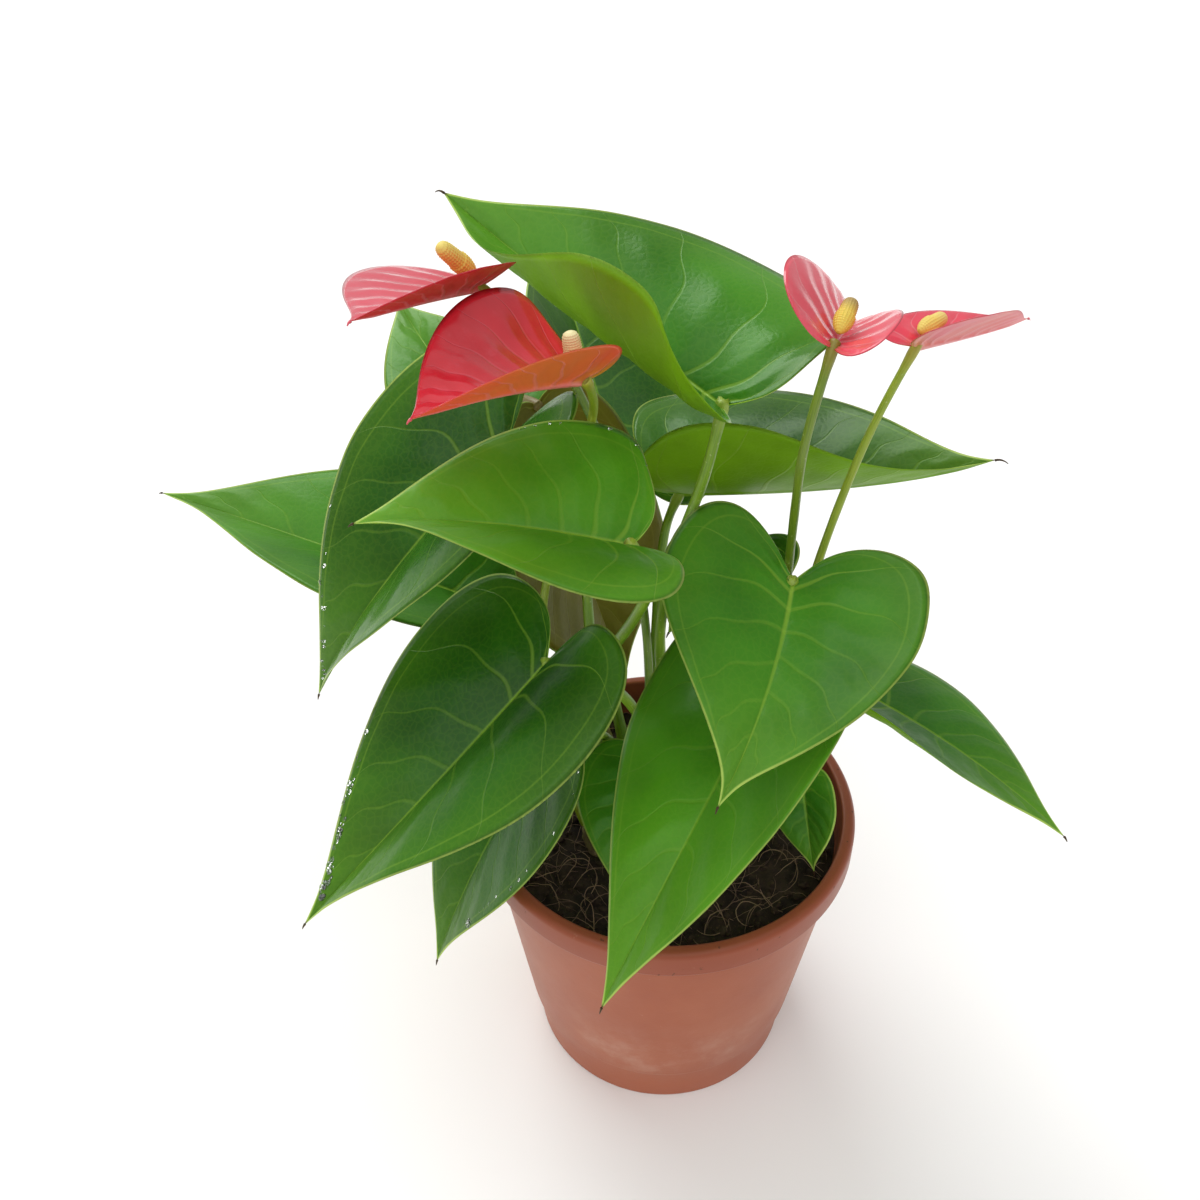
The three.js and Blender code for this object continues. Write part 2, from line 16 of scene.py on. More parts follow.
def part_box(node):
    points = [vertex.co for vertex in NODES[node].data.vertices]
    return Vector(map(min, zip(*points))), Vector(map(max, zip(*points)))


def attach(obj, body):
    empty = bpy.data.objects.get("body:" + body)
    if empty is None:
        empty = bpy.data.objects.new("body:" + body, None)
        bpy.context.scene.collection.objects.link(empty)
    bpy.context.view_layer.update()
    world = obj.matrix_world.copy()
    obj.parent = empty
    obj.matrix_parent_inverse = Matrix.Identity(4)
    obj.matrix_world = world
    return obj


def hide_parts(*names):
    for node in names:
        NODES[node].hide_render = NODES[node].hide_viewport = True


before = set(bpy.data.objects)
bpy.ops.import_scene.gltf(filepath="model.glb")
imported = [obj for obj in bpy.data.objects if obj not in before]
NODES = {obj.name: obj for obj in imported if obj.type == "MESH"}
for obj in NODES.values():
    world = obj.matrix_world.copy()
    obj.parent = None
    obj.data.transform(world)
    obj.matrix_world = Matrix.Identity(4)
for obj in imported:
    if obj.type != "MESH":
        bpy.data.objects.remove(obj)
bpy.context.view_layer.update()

MM = 0.001
rng = random.Random(7)

# The cage that each CAD blade holds: rows from the stalk to the tip, columns from midrib to margin.
CAGE_ROWS = 12
CAGE_COLUMNS = 3

# Two faces meet at a blade's margin where their directions agree less than this.
SHARP = -0.7

# Points nearer than this are one point.
WELD = 0.0005 * MM

# The fine blade.
ROW_STEPS = 8
HALF_COLUMNS = 21
COLUMN_CROWDING = 1.35
LEAF_THICKNESS = 0.6 * MM
SPATHE_THICKNESS = 0.7 * MM
TAIL_LENGTH = 1.4 * MM
LONG_TAILS = {"leaf_top_back": 4 * MM, "leaf_right_back": 4.5 * MM}
TAIL_RINGS = 7
TAIL_SIDES = 8
TAIL_GIRTHS = (0.42, 0.14)
LEAF_VEINS = 8
SPATHE_VEINS = 9
LEAF_QUILT = 0.55 * MM
SPATHE_QUILT = 0.45 * MM

# Each wet blade: the rows its beads of water lie between, how many there are, and which half.
DEW = {
    "leaf_front_left": (0.58, 0.93, 70, 1),
    "leaf_left_dark": (0.62, 0.95, 26, 1),
    "leaf_low_left": (0.3, 0.8, 16, -1),
    "leaf_middle": (0.2, 0.6, 10, 1),
}
BEAD_SIDES = 10
BEAD_RINGS = 4

# Stalks and spadices.
STALK_RINGS = 72
STALK_SIDES = 16
SPADIX_RINGS = 90
SPADIX_SIDES = 72

# Camera: a 36 mm lens on a 36 mm sensor.
CAMERA_PLACE = (-0.022, -0.286, 0.421)
CAMERA_PITCH = 38
CAMERA_ROLL = -0.75


# Mesh helpers.


def make_object(name, points, faces, materials, slots=None):
    """A smooth-shaded mesh object from points and faces, with one material index for each face."""
    mesh = bpy.data.meshes.new(name)
    mesh.from_pydata([tuple(p) for p in points], [], [tuple(f) for f in faces])
    for material in materials:
        mesh.materials.append(material)
    if slots is not None:
        mesh.polygons.foreach_set("material_index", slots)
    mesh.polygons.foreach_set("use_smooth", [True] * len(mesh.polygons))
    mesh.update()
    piece = bpy.data.objects.new(name, mesh)
    bpy.context.scene.collection.objects.link(piece)
    return piece


def circle(sides):
    """Evenly spaced directions round a circle, as x and y."""
    turns = [2 * math.pi * side / sides for side in range(sides)]
    return [(math.cos(turn), math.sin(turn)) for turn in turns]


def ring_faces(rings, sides):
    """Faces of a closed tube made of rings of points, flat at both ends."""
    faces = []
    for ring in range(rings - 1):
        for side in range(sides):
            a, b = ring * sides + side, ring * sides + (side + 1) % sides
            faces.append((a, b, b + sides, a + sides))
    faces.append(tuple(range(sides - 1, -1, -1)))
    faces.append(tuple(range((rings - 1) * sides, rings * sides)))
    return faces


def add_vectors(piece, name, values):
    """Stores three numbers for each vertex, for the materials to read."""
    attribute = piece.data.attributes.new(name, "FLOAT_VECTOR", "POINT")
    attribute.data.foreach_set("vector", np.asarray(values, np.float32).ravel())


def finish_piece(piece, slot, *nodes):
    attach(piece, "root")
    if nodes:
        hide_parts(*nodes)


def spline_weights(count, samples):
    """Weights that turn evenly spaced control points into samples of a natural cubic spline."""
    system = np.zeros((count, count))
    right = np.zeros((count, count))
    system[0, 0] = system[-1, -1] = 1
    for i in range(1, count - 1):
        system[i, i - 1 : i + 2] = [1, 4, 1]
        right[i, i - 1 : i + 2] = [6, -12, 6]
    bends = np.linalg.solve(system, right)
    weights = np.zeros((len(samples), count))
    for k, place in enumerate(samples):
        i = min(int(place), count - 2)
        b = place - i
        a = 1 - b
        weights[k, i] += a
        weights[k, i + 1] += b
        weights[k] += ((a**3 - a) * bends[i] + (b**3 - b) * bends[i + 1]) / 6
    return weights


# Reading the CAD nodes.


def welded(node):
    """A node's points and triangles, with coincident points joined."""
    mesh = NODES[node].data
    raw = np.array([v.co for v in mesh.vertices], float)
    grid = np.round(raw / WELD).astype(np.int64)
    _, first, index = np.unique(grid, axis=0, return_index=True, return_inverse=True)
    index = index.ravel()
    faces = [tuple(index[v] for v in p.vertices) for p in mesh.polygons]
    return raw[first], [f for f in faces if len(set(f)) == 3]


def links_of(faces, count):
    links = [set() for _ in range(count)]
    for face in faces:
        for a in face:
            links[a].update(b for b in face if b != a)
    return links


def steps_from(starts, links, barred=()):
    """How many edges away each point is from the nearest start."""
    found = {s: 0 for s in starts}
    front = list(starts)
    while front:
        after = []
        for a in front:
            for b in links[a]:
                if b not in found and b not in barred:
                    found[b] = found[a] + 1
                    after.append(b)
        front = after
    return found


def groups_of(members, links):
    """Splits a set of points into connected groups."""
    left = set(members)
    groups = []
    while left:
        inside = steps_from([min(left)], links, barred=set(range(len(links))) - left)
        groups.append(set(inside))
        left -= set(inside)
    return groups


def stalk_line(node):
    """The middles and radii of a CAD stalk's rings, from its foot to its top."""
    points, faces = welded(node)
    links = links_of(faces, len(points))
    foot = [i for i, p in enumerate(points) if p[2] < points[:, 2].min() + 0.01 * MM]
    steps = steps_from(foot, links)
    middles, radii = [], []
    for ring in range(max(steps.values()) + 1):
        around = points[[i for i in steps if steps[i] == ring]]
        if len(around) < 4:
            break
        middles.append(around.mean(0))
        radii.append(np.linalg.norm(around - middles[-1], axis=1).max())
    return np.array(middles), np.array(radii)


def facing_of(layer, faces, normals, rows):
    """The way one side of a blade faces, near its root."""
    near = [k for k, f in enumerate(faces) if sum(i in layer for i in f) > 1 and rows[f[0]] < 5]
    return normals[near].sum(0)


def blade_cage(node, stalk):
    """A CAD blade's middle surface, rows by columns, from margin to margin, with its face up."""
    points, faces = welded(node)
    links = links_of(faces, len(points))
    corners = points[np.array(faces)]
    normals = np.cross(corners[:, 1] - corners[:, 0], corners[:, 2] - corners[:, 0])
    areas = np.linalg.norm(normals, axis=1)
    units = normals / areas[:, None]
    sides = {}
    for k, face in enumerate(faces):
        for a, b in zip(face, face[1:] + face[:1]):
            sides.setdefault((min(a, b), max(a, b)), []).append(k)
    folds = {}
    for (a, b), (one, other) in sides.items():
        fold = units[one] @ units[other]
        if fold < SHARP:
            folds[a] = min(fold, folds.get(a, 1))
            folds[b] = min(fold, folds.get(b, 1))
    middles, _ = stalk_line(stalk)
    ends = sorted(range(len(points)), key=lambda i: -len(links[i]))[:2]
    ends.sort(key=lambda i: np.linalg.norm(points[i] - middles[-1]))
    root, tip = ends
    arrive = points[root] - middles[-2]
    rows = steps_from([root], links)
    margin = []
    for row in range(CAGE_ROWS - 1, 0, -1):
        sharp = [i for i in folds if rows[i] == row]
        margin += sorted(sharp, key=lambda i: (not links[i] & set(margin), folds[i]))[:2]
    inner = steps_from(margin, links, barred=ends)
    column = {i: CAGE_COLUMNS - steps for i, steps in inner.items()}
    edges = groups_of(margin, links)
    layers = groups_of([i for i in column if 0 < column[i] < CAGE_COLUMNS], links)
    cage = np.zeros((CAGE_ROWS + 1, 2 * CAGE_COLUMNS + 1, 3))
    cage[0] = points[root]
    cage[-1] = points[tip]
    ribs = {}
    halves = {}
    pairs = [[layer for layer in layers if any(links[i] & edge for i in layer)] for edge in edges]
    beside = [{j for i in layer for j in links[i] if column.get(j) == 0} for layer in pairs[0]]
    pairs[1].sort(key=lambda layer: -len({j for i in layer for j in links[i]} & beside[0]))
    facing = []
    for both in zip(*pairs):
        facing.append(sum(facing_of(layer, faces, normals, rows) for layer in both) @ arrive)
    is_upper = (facing[0] > facing[1], facing[0] < facing[1])
    for side in (0, 1):
        for upper, layer in zip(is_upper, pairs[side]):
            halves[upper, side] = {(rows[i], column[i]): points[i] for i in layer}
            for i in layer:
                for j in links[i]:
                    if column.get(j) == 0:
                        ribs[upper, rows[j]] = points[j]
    for side in (0, 1):
        sign = 1 if side else -1
        for i in edges[side]:
            cage[rows[i], CAGE_COLUMNS * (1 + sign)] = points[i]
        for (row, col), point in halves[True, side].items():
            cage[row, CAGE_COLUMNS + sign * col] = (point + halves[False, side][row, col]) / 2
    for row in range(1, CAGE_ROWS):
        above, below = ribs[True, row], ribs[False, row]
        inside = halves[True, 0][row, 1] - halves[False, 0][row, 1]
        down = (below - above) / np.linalg.norm(below - above)
        cage[row, CAGE_COLUMNS] = above + down * np.linalg.norm(inside) / 2
    across = cage[6, -2] - cage[6, 1]
    along = cage[7, CAGE_COLUMNS] - cage[5, CAGE_COLUMNS]
    if np.cross(across, along) @ (ribs[True, 6] - ribs[False, 6]) < 0:
        cage = cage[:, ::-1]
    return cage


# Blades.


def unit(vectors):
    return vectors / np.maximum(np.linalg.norm(vectors, axis=-1, keepdims=True), 1e-9)


def fine_surface(cage):
    """Samples the cage finely, and gives each sample's row share and column share."""
    row_places = np.linspace(0, CAGE_ROWS, CAGE_ROWS * ROW_STEPS + 1)
    crowded = np.linspace(0, 1, HALF_COLUMNS + 1) ** COLUMN_CROWDING
    by_row = np.einsum("ri,ijk->rjk", spline_weights(CAGE_ROWS + 1, row_places), cage)
    across = spline_weights(CAGE_COLUMNS + 1, crowded * CAGE_COLUMNS)
    left = np.einsum("cj,rjk->rck", across, by_row[:, CAGE_COLUMNS::-1])
    right = np.einsum("cj,rjk->rck", across, by_row[:, CAGE_COLUMNS:])
    surface = np.concatenate([left[:, :0:-1], right], axis=1)
    share = row_places / CAGE_ROWS
    reach = np.concatenate([-crowded[:0:-1], crowded])
    return surface, share, reach


def surface_normals(surface):
    along = np.gradient(surface, axis=0)
    across = np.gradient(surface, axis=1)
    across[0] = across[1]
    across[-1] = across[-2]
    along[0] = along[1]
    along[-1] = along[-2]
    return unit(np.cross(across, along))


def vein_phase(share, reach, veins, seed):
    """Counts veins from the stalk to the tip. Each lies where the phase is halfway between counts."""
    row = share[:, None]
    out = np.abs(reach)[None, :]
    lift = 0.2 * np.sin(math.pi * np.clip(row, 0, 1)) ** 0.8
    place = row - lift * out**1.2
    side = np.where(reach[None, :] < 0, 0.35, -0.2)
    sway = 0.012 * np.sin(11 * place + seed + 5 * side)
    flutter = 0.006 * np.sin(14 * out + 17 * place + seed)
    return veins * (place + (sway + flutter)) + 0.18 * side


def make_blade(name, stalk, thickness, veins, quilt, materials, seed):
    cage = blade_cage(name, stalk)
    surface, share, reach = fine_surface(cage)
    count_rows, count_columns = surface.shape[:2]
    middle = count_columns // 2
    normals = surface_normals(surface)
    steps = np.linalg.norm(np.diff(surface, axis=1), axis=2)
    outward = np.zeros((count_rows, count_columns))
    outward[:, middle + 1 :] = np.cumsum(steps[:, middle:], axis=1)
    outward[:, :middle] = -np.cumsum(steps[:, middle - 1 :: -1], axis=1)[:, ::-1]
    half_width = np.where(reach[None, :] < 0, -outward[:, :1], outward[:, -1:])
    phase = vein_phase(share, reach, veins, seed)
    spread = np.linalg.norm(np.gradient(surface, axis=0), axis=2) / np.maximum(
        np.abs(np.gradient(phase, axis=0)), 1e-4
    )
    wave = np.abs((phase % 1) * 2 - 1) ** 1.4
    hush = np.sin(math.pi * np.clip(np.abs(reach), 0, 1)) ** 0.8
    calm = np.clip(half_width / (12 * MM), 0, 1) * np.clip(share[:, None] * 8, 0, 1)
    swell = quilt * (wave * hush[None, :] - 0.4) * calm
    apart = Vector((seed, 0, 0))
    ripple = np.array([[noise.noise(Vector(p) * 45 + apart) for p in line] for line in surface])
    swell += 0.5 * MM * ripple * calm * np.abs(reach)[None, :]
    surface = surface + normals * swell[..., None]
    full = thickness * np.clip(1 - np.abs(reach)[None, :] ** 5, 0, 1) ** 0.5
    full = full * np.clip(half_width / (4 * MM), 0.1, 1)
    fade = np.clip(half_width / (5 * MM), 0, 1) * (1 - 0.75 * share[:, None])
    ridge = np.exp(-((outward / (1.1 * MM)) ** 2)) * fade
    upper = surface + normals * (full / 2 - 0.22 * MM * ridge)[..., None]
    lower = surface - normals * (full / 2 + 1.0 * MM * ridge)[..., None]
    points, index_up, index_low = [], {}, {}
    for row in range(count_rows):
        for col in range(count_columns):
            single = row in (0, count_rows - 1)
            if single and col:
                index_up[row, col] = index_low[row, col] = index_up[row, 0]
                continue
            index_up[row, col] = len(points)
            points.append((row, col, surface[row, col] if single else upper[row, col]))
            if single or col in (0, count_columns - 1):
                index_low[row, col] = index_up[row, col]
                points[-1] = (row, col, surface[row, col])
            else:
                index_low[row, col] = len(points)
                points.append((row, col, lower[row, col]))
    faces, slots = [], []
    for row in range(count_rows - 1):
        for col in range(count_columns - 1):
            for index, slot in ((index_up, 0), (index_low, 1)):
                around = ((row, col), (row, col + 1), (row + 1, col + 1), (row + 1, col))
                corners = list(dict.fromkeys(index[place] for place in around))
                faces.append(corners if slot == 0 else corners[::-1])
                slots.append(slot)
    along = unit(surface[-1, 0] - surface[-6, middle])
    length = LONG_TAILS.get(name, TAIL_LENGTH)
    steps = np.linspace(0, length, TAIL_RINGS)[:, None]
    hang = [0, 0, -1] * steps**2 / (1.8 * length)
    tail = surface[-1, 0] + along * (steps - 0.5 * MM) + hang
    tail_points, tail_faces, _ = sweep(tail, np.linspace(*TAIL_GIRTHS, TAIL_RINGS) * MM, TAIL_SIDES)
    start = len(points)
    points += [(count_rows - 1, middle, p) for p in tail_points]
    faces += [[start + i for i in face] for face in tail_faces]
    slots += [0] * len(tail_faces)
    piece = make_object("fine_" + name, [p for _, _, p in points], faces, materials, slots)
    rows = np.array([r for r, _, _ in points])
    cols = np.array([c for _, c, _ in points])
    at = rows, cols
    veined = [phase[at], spread[at] / MM, outward[at] / MM]
    add_vectors(piece, "veins", np.stack(veined, axis=1))
    placed = [share[rows], np.abs(reach)[cols], (half_width - np.abs(outward))[at] / MM]
    add_vectors(piece, "place", np.stack(placed, axis=1))
    return piece


def make_dew(name, material):
    """Small flattened beads of water, in a band along a blade's edge."""
    least, most, count, half = DEW[name]
    mesh = bpy.data.objects["fine_" + name].data
    place = mesh.attributes["place"].data
    side = mesh.attributes["veins"].data
    wet = []
    for polygon in mesh.polygons:
        row, _, to_edge = place[polygon.vertices[0]].vector
        outward = side[polygon.vertices[0]].vector[2]
        in_band = least < row < most and 0.8 < to_edge < 3.4
        if polygon.material_index == 0 and in_band and outward * half > 0:
            wet.append(polygon)
    points, faces = [], []
    for _ in range(count):
        polygon = rng.choice(wet)
        up = polygon.normal
        across = up.orthogonal().normalized()
        ahead = up.cross(across)
        size = MM * (0.25 + 0.65 * rng.random() ** 2.5)
        stretch = rng.uniform(1.0, 1.9)
        start = len(points)
        for ring in range(BEAD_RINGS):
            tilt = math.pi / 2 * ring / BEAD_RINGS
            rise = up * size * 0.45 * math.sin(tilt)
            for x, y in circle(BEAD_SIDES):
                flat = across * x * stretch + ahead * y
                points.append(polygon.center + flat * size * math.cos(tilt) + rise)
        points.append(polygon.center + up * size * 0.45)
        for ring in range(BEAD_RINGS - 1):
            for turn in range(BEAD_SIDES):
                after = (turn + 1) % BEAD_SIDES
                low, high = start + ring * BEAD_SIDES, start + (ring + 1) * BEAD_SIDES
                faces.append((low + turn, low + after, high + after, high + turn))
        top = start + (BEAD_RINGS - 1) * BEAD_SIDES
        for turn in range(BEAD_SIDES):
            faces.append((top + turn, top + (turn + 1) % BEAD_SIDES, len(points) - 1))
        faces.append(tuple(range(start + BEAD_SIDES - 1, start - 1, -1)))
    return make_object("dew_" + name, points, faces, [material])


# Stalks.


def sweep(line, radii, sides):
    """Points and faces of a closed round tube along a line."""
    ways = unit(np.gradient(line, axis=0))
    across = unit(np.cross(ways[0], [0.3, 1, 0.2]))
    points, marks = [], []
    travelled = np.concatenate([[0], np.cumsum(np.linalg.norm(np.diff(line, axis=0), axis=1))])
    for ring, (centre, way, radius) in enumerate(zip(line, ways, radii)):
        across = unit(across - way * (across @ way))
        up = np.cross(way, across)
        for x, y in circle(sides):
            points.append(centre + radius * (across * x + up * y))
            marks.append((travelled[ring] / MM, x, y))
    return points, ring_faces(len(line), sides), marks


def make_stalk(node, blade, knee, material):
    """A stalk with a flared foot, and a knee just below the blade, that ends in the blade's root."""
    middles, radii = stalk_line(node)
    root = blade_root(blade, middles[-1])
    control = np.vstack([middles, root])
    places = np.linspace(0, len(control) - 1, STALK_RINGS)
    line = spline_weights(len(control), places) @ control
    travelled = np.concatenate([[0], np.cumsum(np.linalg.norm(np.diff(line, axis=0), axis=1))])
    to_top = travelled[-1] - travelled
    thick = np.interp(places, range(len(control)), np.append(radii, radii[-1]))
    thick = thick * (1 + 0.3 * np.exp(-travelled / (5 * MM)))
    thick = thick * (1 + knee * np.exp(-(((to_top - 4 * MM) / (4 * MM)) ** 2)))
    thick = thick * (1 + 0.02 * np.sin(travelled / (3.1 * MM)))
    way = unit(line[-1] - line[-3])
    rounding = [0.96, 0.8, 0.45, 0.1]
    line = np.vstack([line] + [line[-1:] + way * 0.25 * MM * k for k in (1, 2, 3, 3.5)])
    thick = np.append(thick, thick[-1] * np.array(rounding))
    points, faces, marks = sweep(line, thick, STALK_SIDES)
    piece = make_object("fine_" + node, points, faces, [material])
    total = marks[-1][0]
    add_vectors(piece, "stalk", [(total - along, c, s) for along, c, s in marks])
    return piece


def blade_root(node, near):
    """The point of a CAD blade that its stalk meets."""
    points, faces = welded(node)
    links = links_of(faces, len(points))
    ends = sorted(range(len(points)), key=lambda i: -len(links[i]))[:2]
    return min((points[i] for i in ends), key=lambda p: np.linalg.norm(p - near))


# Spadices.


def make_spadix(node, blade_node, stalk, material):
    """A blunt spike set with rows of tiny flowers."""
    points, _ = welded(node)
    centre = points.mean(0)
    _, _, ways = np.linalg.svd(points - centre)
    axis = ways[0]
    root = blade_root(blade_node, stalk_line(stalk)[0][-1])
    if (centre - root) @ axis < 0:
        axis = -axis
    along = (points - centre) @ axis
    low, high = along.min(), along.max()
    radius = np.linalg.norm(points - centre - along[:, None] * axis, axis=1).max()
    across = unit(np.cross(axis, [0.2, 0.9, 0.4]))
    up = np.cross(axis, across)
    fine, marks = [], []
    for ring in range(SPADIX_RINGS):
        share = ring / (SPADIX_RINGS - 1)
        taper = (1 - 0.22 * share) * (1 - (2 * share - 1) ** 8 * 0.99) ** 0.5
        taper = min(taper, 1) if share > 0.5 else (1 - (1 - 2 * share) ** 3 * 0.75)
        for side in range(SPADIX_SIDES):
            turn = 2 * math.pi * side / SPADIX_SIDES
            twist = 34 * share * math.pi / 2
            weave = math.cos(9 * turn + twist) * math.cos(9 * turn - twist)
            swell = radius * taper * (1 + 0.075 * weave)
            place = centre + axis * (low + (high - low) * share)
            fine.append(place + swell * (across * math.cos(turn) + up * math.sin(turn)))
            marks.append((share, weave, 0))
    piece = make_object("fine_" + node, fine, ring_faces(SPADIX_RINGS, SPADIX_SIDES), [material])
    add_vectors(piece, "spadix", marks)
    return piece


# Pot, mix and stems.

POT_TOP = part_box("pot")[1].z
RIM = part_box("pot")[1].x
POT_SIDES = 192
LIP_DROP = 11 * MM
WAIST = 19 * MM
WALL = 1.8 * MM
MIX_TOP = 97 * MM
DRAIN_CIRCLE = 36 * MM
DRAIN_RADIUS = 4 * MM
DRAIN_COUNT = 8
MIX_GAP = 0.4 * MM

# How far in from the rim the pot's mouth and the outsides of its wall, waist and foot lie.
MOUTH_INSET = 4.5 * MM
TOP_INSET = 3.6 * MM
WAIST_INSET = 14.5 * MM
FOOT_INSET = 17.5 * MM

# What lies loose on the mix, and how far out it reaches.
CRUMB_COUNT = 620
FIBRE_COUNT = 300
LITTER_RADIUS = 57.5 * MM

CROWN_RINGS = 46
CROWN_SIDES = 64


def arc(centre, radius, start, end, steps):
    turns = [math.radians(start + (end - start) * i / steps) for i in range(steps + 1)]
    return [(centre[0] + radius * math.cos(t), centre[1] + radius * math.sin(t)) for t in turns]


def turned(name, profile, sides, materials):
    """A profile of radii and heights turned about the vertical."""
    points = [(radius * x, radius * y, height) for radius, height in profile for x, y in circle(sides)]
    return make_object(name, points, ring_faces(len(profile), sides), materials)


def make_pot(material):
    """A nursery pot with a rolled rim, a stepped waist, a flat floor and drain holes."""
    shoulder = POT_TOP - LIP_DROP
    mouth = RIM - MOUTH_INSET
    top_out = RIM - TOP_INSET
    waist_out = RIM - WAIST_INSET
    foot_out = RIM - FOOT_INSET
    lean = (top_out - waist_out) / (shoulder - WAIST)
    heights = np.linspace(WAIST + 3 * MM, shoulder - 2 * MM, 14)
    wall = [(waist_out + lean * (z - WAIST), z) for z in heights]
    profile = [(1 * MM, 0), (foot_out - 8 * MM, 0)]
    profile += [(foot_out - 1.6 * MM, 0)] + arc((foot_out - 1 * MM, 1 * MM), 1 * MM, -80, 0, 5)
    profile += [(foot_out + 0.6 * MM, 8 * MM), (foot_out + 1.3 * MM, 16 * MM)]
    profile += [(foot_out + 1.6 * MM, 17.6 * MM)]
    profile += arc((waist_out - 0.9 * MM, WAIST + 0.6 * MM), 0.9 * MM, -65, 0, 5)
    profile += wall
    profile += [(top_out - 0.2 * MM, shoulder - 0.5 * MM)]
    profile += [(top_out + 0.5 * MM, shoulder + 0.1 * MM)]
    profile += arc((RIM - 1.4 * MM, shoulder + 1.6 * MM), 1.4 * MM, -80, 0, 6)
    profile += [(RIM, shoulder + 5 * MM)]
    profile += arc((RIM - 2.4 * MM, POT_TOP - 2.4 * MM), 2.4 * MM, 0, 90, 9)
    profile += arc((mouth + 1 * MM, POT_TOP - 1 * MM), 1 * MM, 95, 180, 7)
    profile += [(mouth - 0.2 * MM, POT_TOP - 5 * MM), (top_out - WALL, shoulder)]
    profile += [(waist_out - WALL, WAIST + 1 * MM), (foot_out + 1.8 * MM - WALL, WAIST - 1.5 * MM)]
    profile += [(foot_out - WALL, 2.5 * MM), (1 * MM, 2.5 * MM)]
    pot = turned("fine_pot", profile, POT_SIDES, [material])
    drains = bmesh.new()
    for x, y in circle(DRAIN_COUNT):
        bmesh.ops.create_cone(
            drains,
            cap_ends=True,
            segments=32,
            radius1=DRAIN_RADIUS,
            radius2=DRAIN_RADIUS,
            depth=12 * MM,
            matrix=Matrix.Translation((DRAIN_CIRCLE * x, DRAIN_CIRCLE * y, 1 * MM)),
        )
    cutter_mesh = bpy.data.meshes.new("drains")
    drains.to_mesh(cutter_mesh)
    drains.free()
    cutter = bpy.data.objects.new("drains", cutter_mesh)
    bpy.context.scene.collection.objects.link(cutter)
    cut = pot.modifiers.new("drains", "BOOLEAN")
    cut.operation = "DIFFERENCE"
    cut.solver = "EXACT"
    cut.object = cutter
    bpy.context.view_layer.update()
    done = bpy.data.meshes.new_from_object(pot.evaluated_get(bpy.context.evaluated_depsgraph_get()))
    pot.modifiers.clear()
    pot.data = done
    bpy.data.objects.remove(cutter)
    return pot


def mix_height(x, y):
    """The uneven top of the potting mix."""
    here = Vector((x, y, 0))
    coarse = noise.noise(here * 55) * 2.2 * MM
    clods = max(0, noise.noise(here * 190 + Vector((3, 1, 0)))) * 2.4 * MM
    grit = noise.noise(here * 620) * 0.5 * MM
    return MIX_TOP - 0.3 * MM + coarse + clods + grit


def make_mix(material):
    """The potting mix: a lumpy top over a plain tapering body."""
    edge = RIM - TOP_INSET - WALL - MIX_GAP
    rings, sides = 110, 260
    directions = circle(sides)
    points, faces = [(0, 0, mix_height(0, 0))], []
    for ring in range(1, rings + 1):
        radius = edge * ring / rings
        for x, y in [(radius * across, radius * ahead) for across, ahead in directions]:
            points.append((x, y, mix_height(x, y) - 1.5 * MM * (ring / rings) ** 12))
    for side in range(sides):
        faces.append((0, 1 + side, 1 + (side + 1) % sides))
    for ring in range(rings - 1):
        for side in range(sides):
            a, b = 1 + ring * sides + side, 1 + ring * sides + (side + 1) % sides
            faces.append((a, a + sides, b + sides, b))
    last = 1 + (rings - 1) * sides
    low_radius = RIM - FOOT_INSET - WALL - MIX_GAP
    foot = len(points)
    for side, (x, y) in enumerate(directions):
        points.append((low_radius * x, low_radius * y, 3 * MM))
        a, b = last + side, last + (side + 1) % sides
        faces.append((a, foot + side, foot + (side + 1) % sides, b))
    faces.append(tuple(range(foot + sides - 1, foot - 1, -1)))
    return make_object("fine_potting_mix", points, faces, [material])


def make_crumbs(material):
    """Loose crumbs of peat and bark lying on the mix."""
    crumbs = bmesh.new()
    for _ in range(CRUMB_COUNT):
        radius = LITTER_RADIUS * math.sqrt(rng.random())
        turn = rng.uniform(0, 2 * math.pi)
        x, y = radius * math.cos(turn), radius * math.sin(turn)
        size = rng.uniform(0.5, 1.9) * MM
        place = Matrix.Translation((x, y, mix_height(x, y) + 0.25 * size))
        angle = rng.uniform(0, 6.3)
        axis = Vector((rng.random(), rng.random(), rng.random() + 0.1))
        spin = Matrix.Rotation(angle, 4, axis)
        lengths = (rng.uniform(0.6, 1.5), rng.uniform(0.5, 1), rng.uniform(0.4, 0.8), 1)
        matrix = place @ spin @ Matrix.Diagonal(lengths)
        made = bmesh.ops.create_icosphere(crumbs, subdivisions=1, radius=size, matrix=matrix)
        for v in made["verts"]:
            push = Vector([rng.uniform(-1, 1) for _ in range(3)])
            v.co += push * 0.22 * size
    mesh = bpy.data.meshes.new("crumbs")
    crumbs.to_mesh(mesh)
    crumbs.free()
    mesh.materials.append(material)
    piece = bpy.data.objects.new("crumbs", mesh)
    bpy.context.scene.collection.objects.link(piece)
    return piece


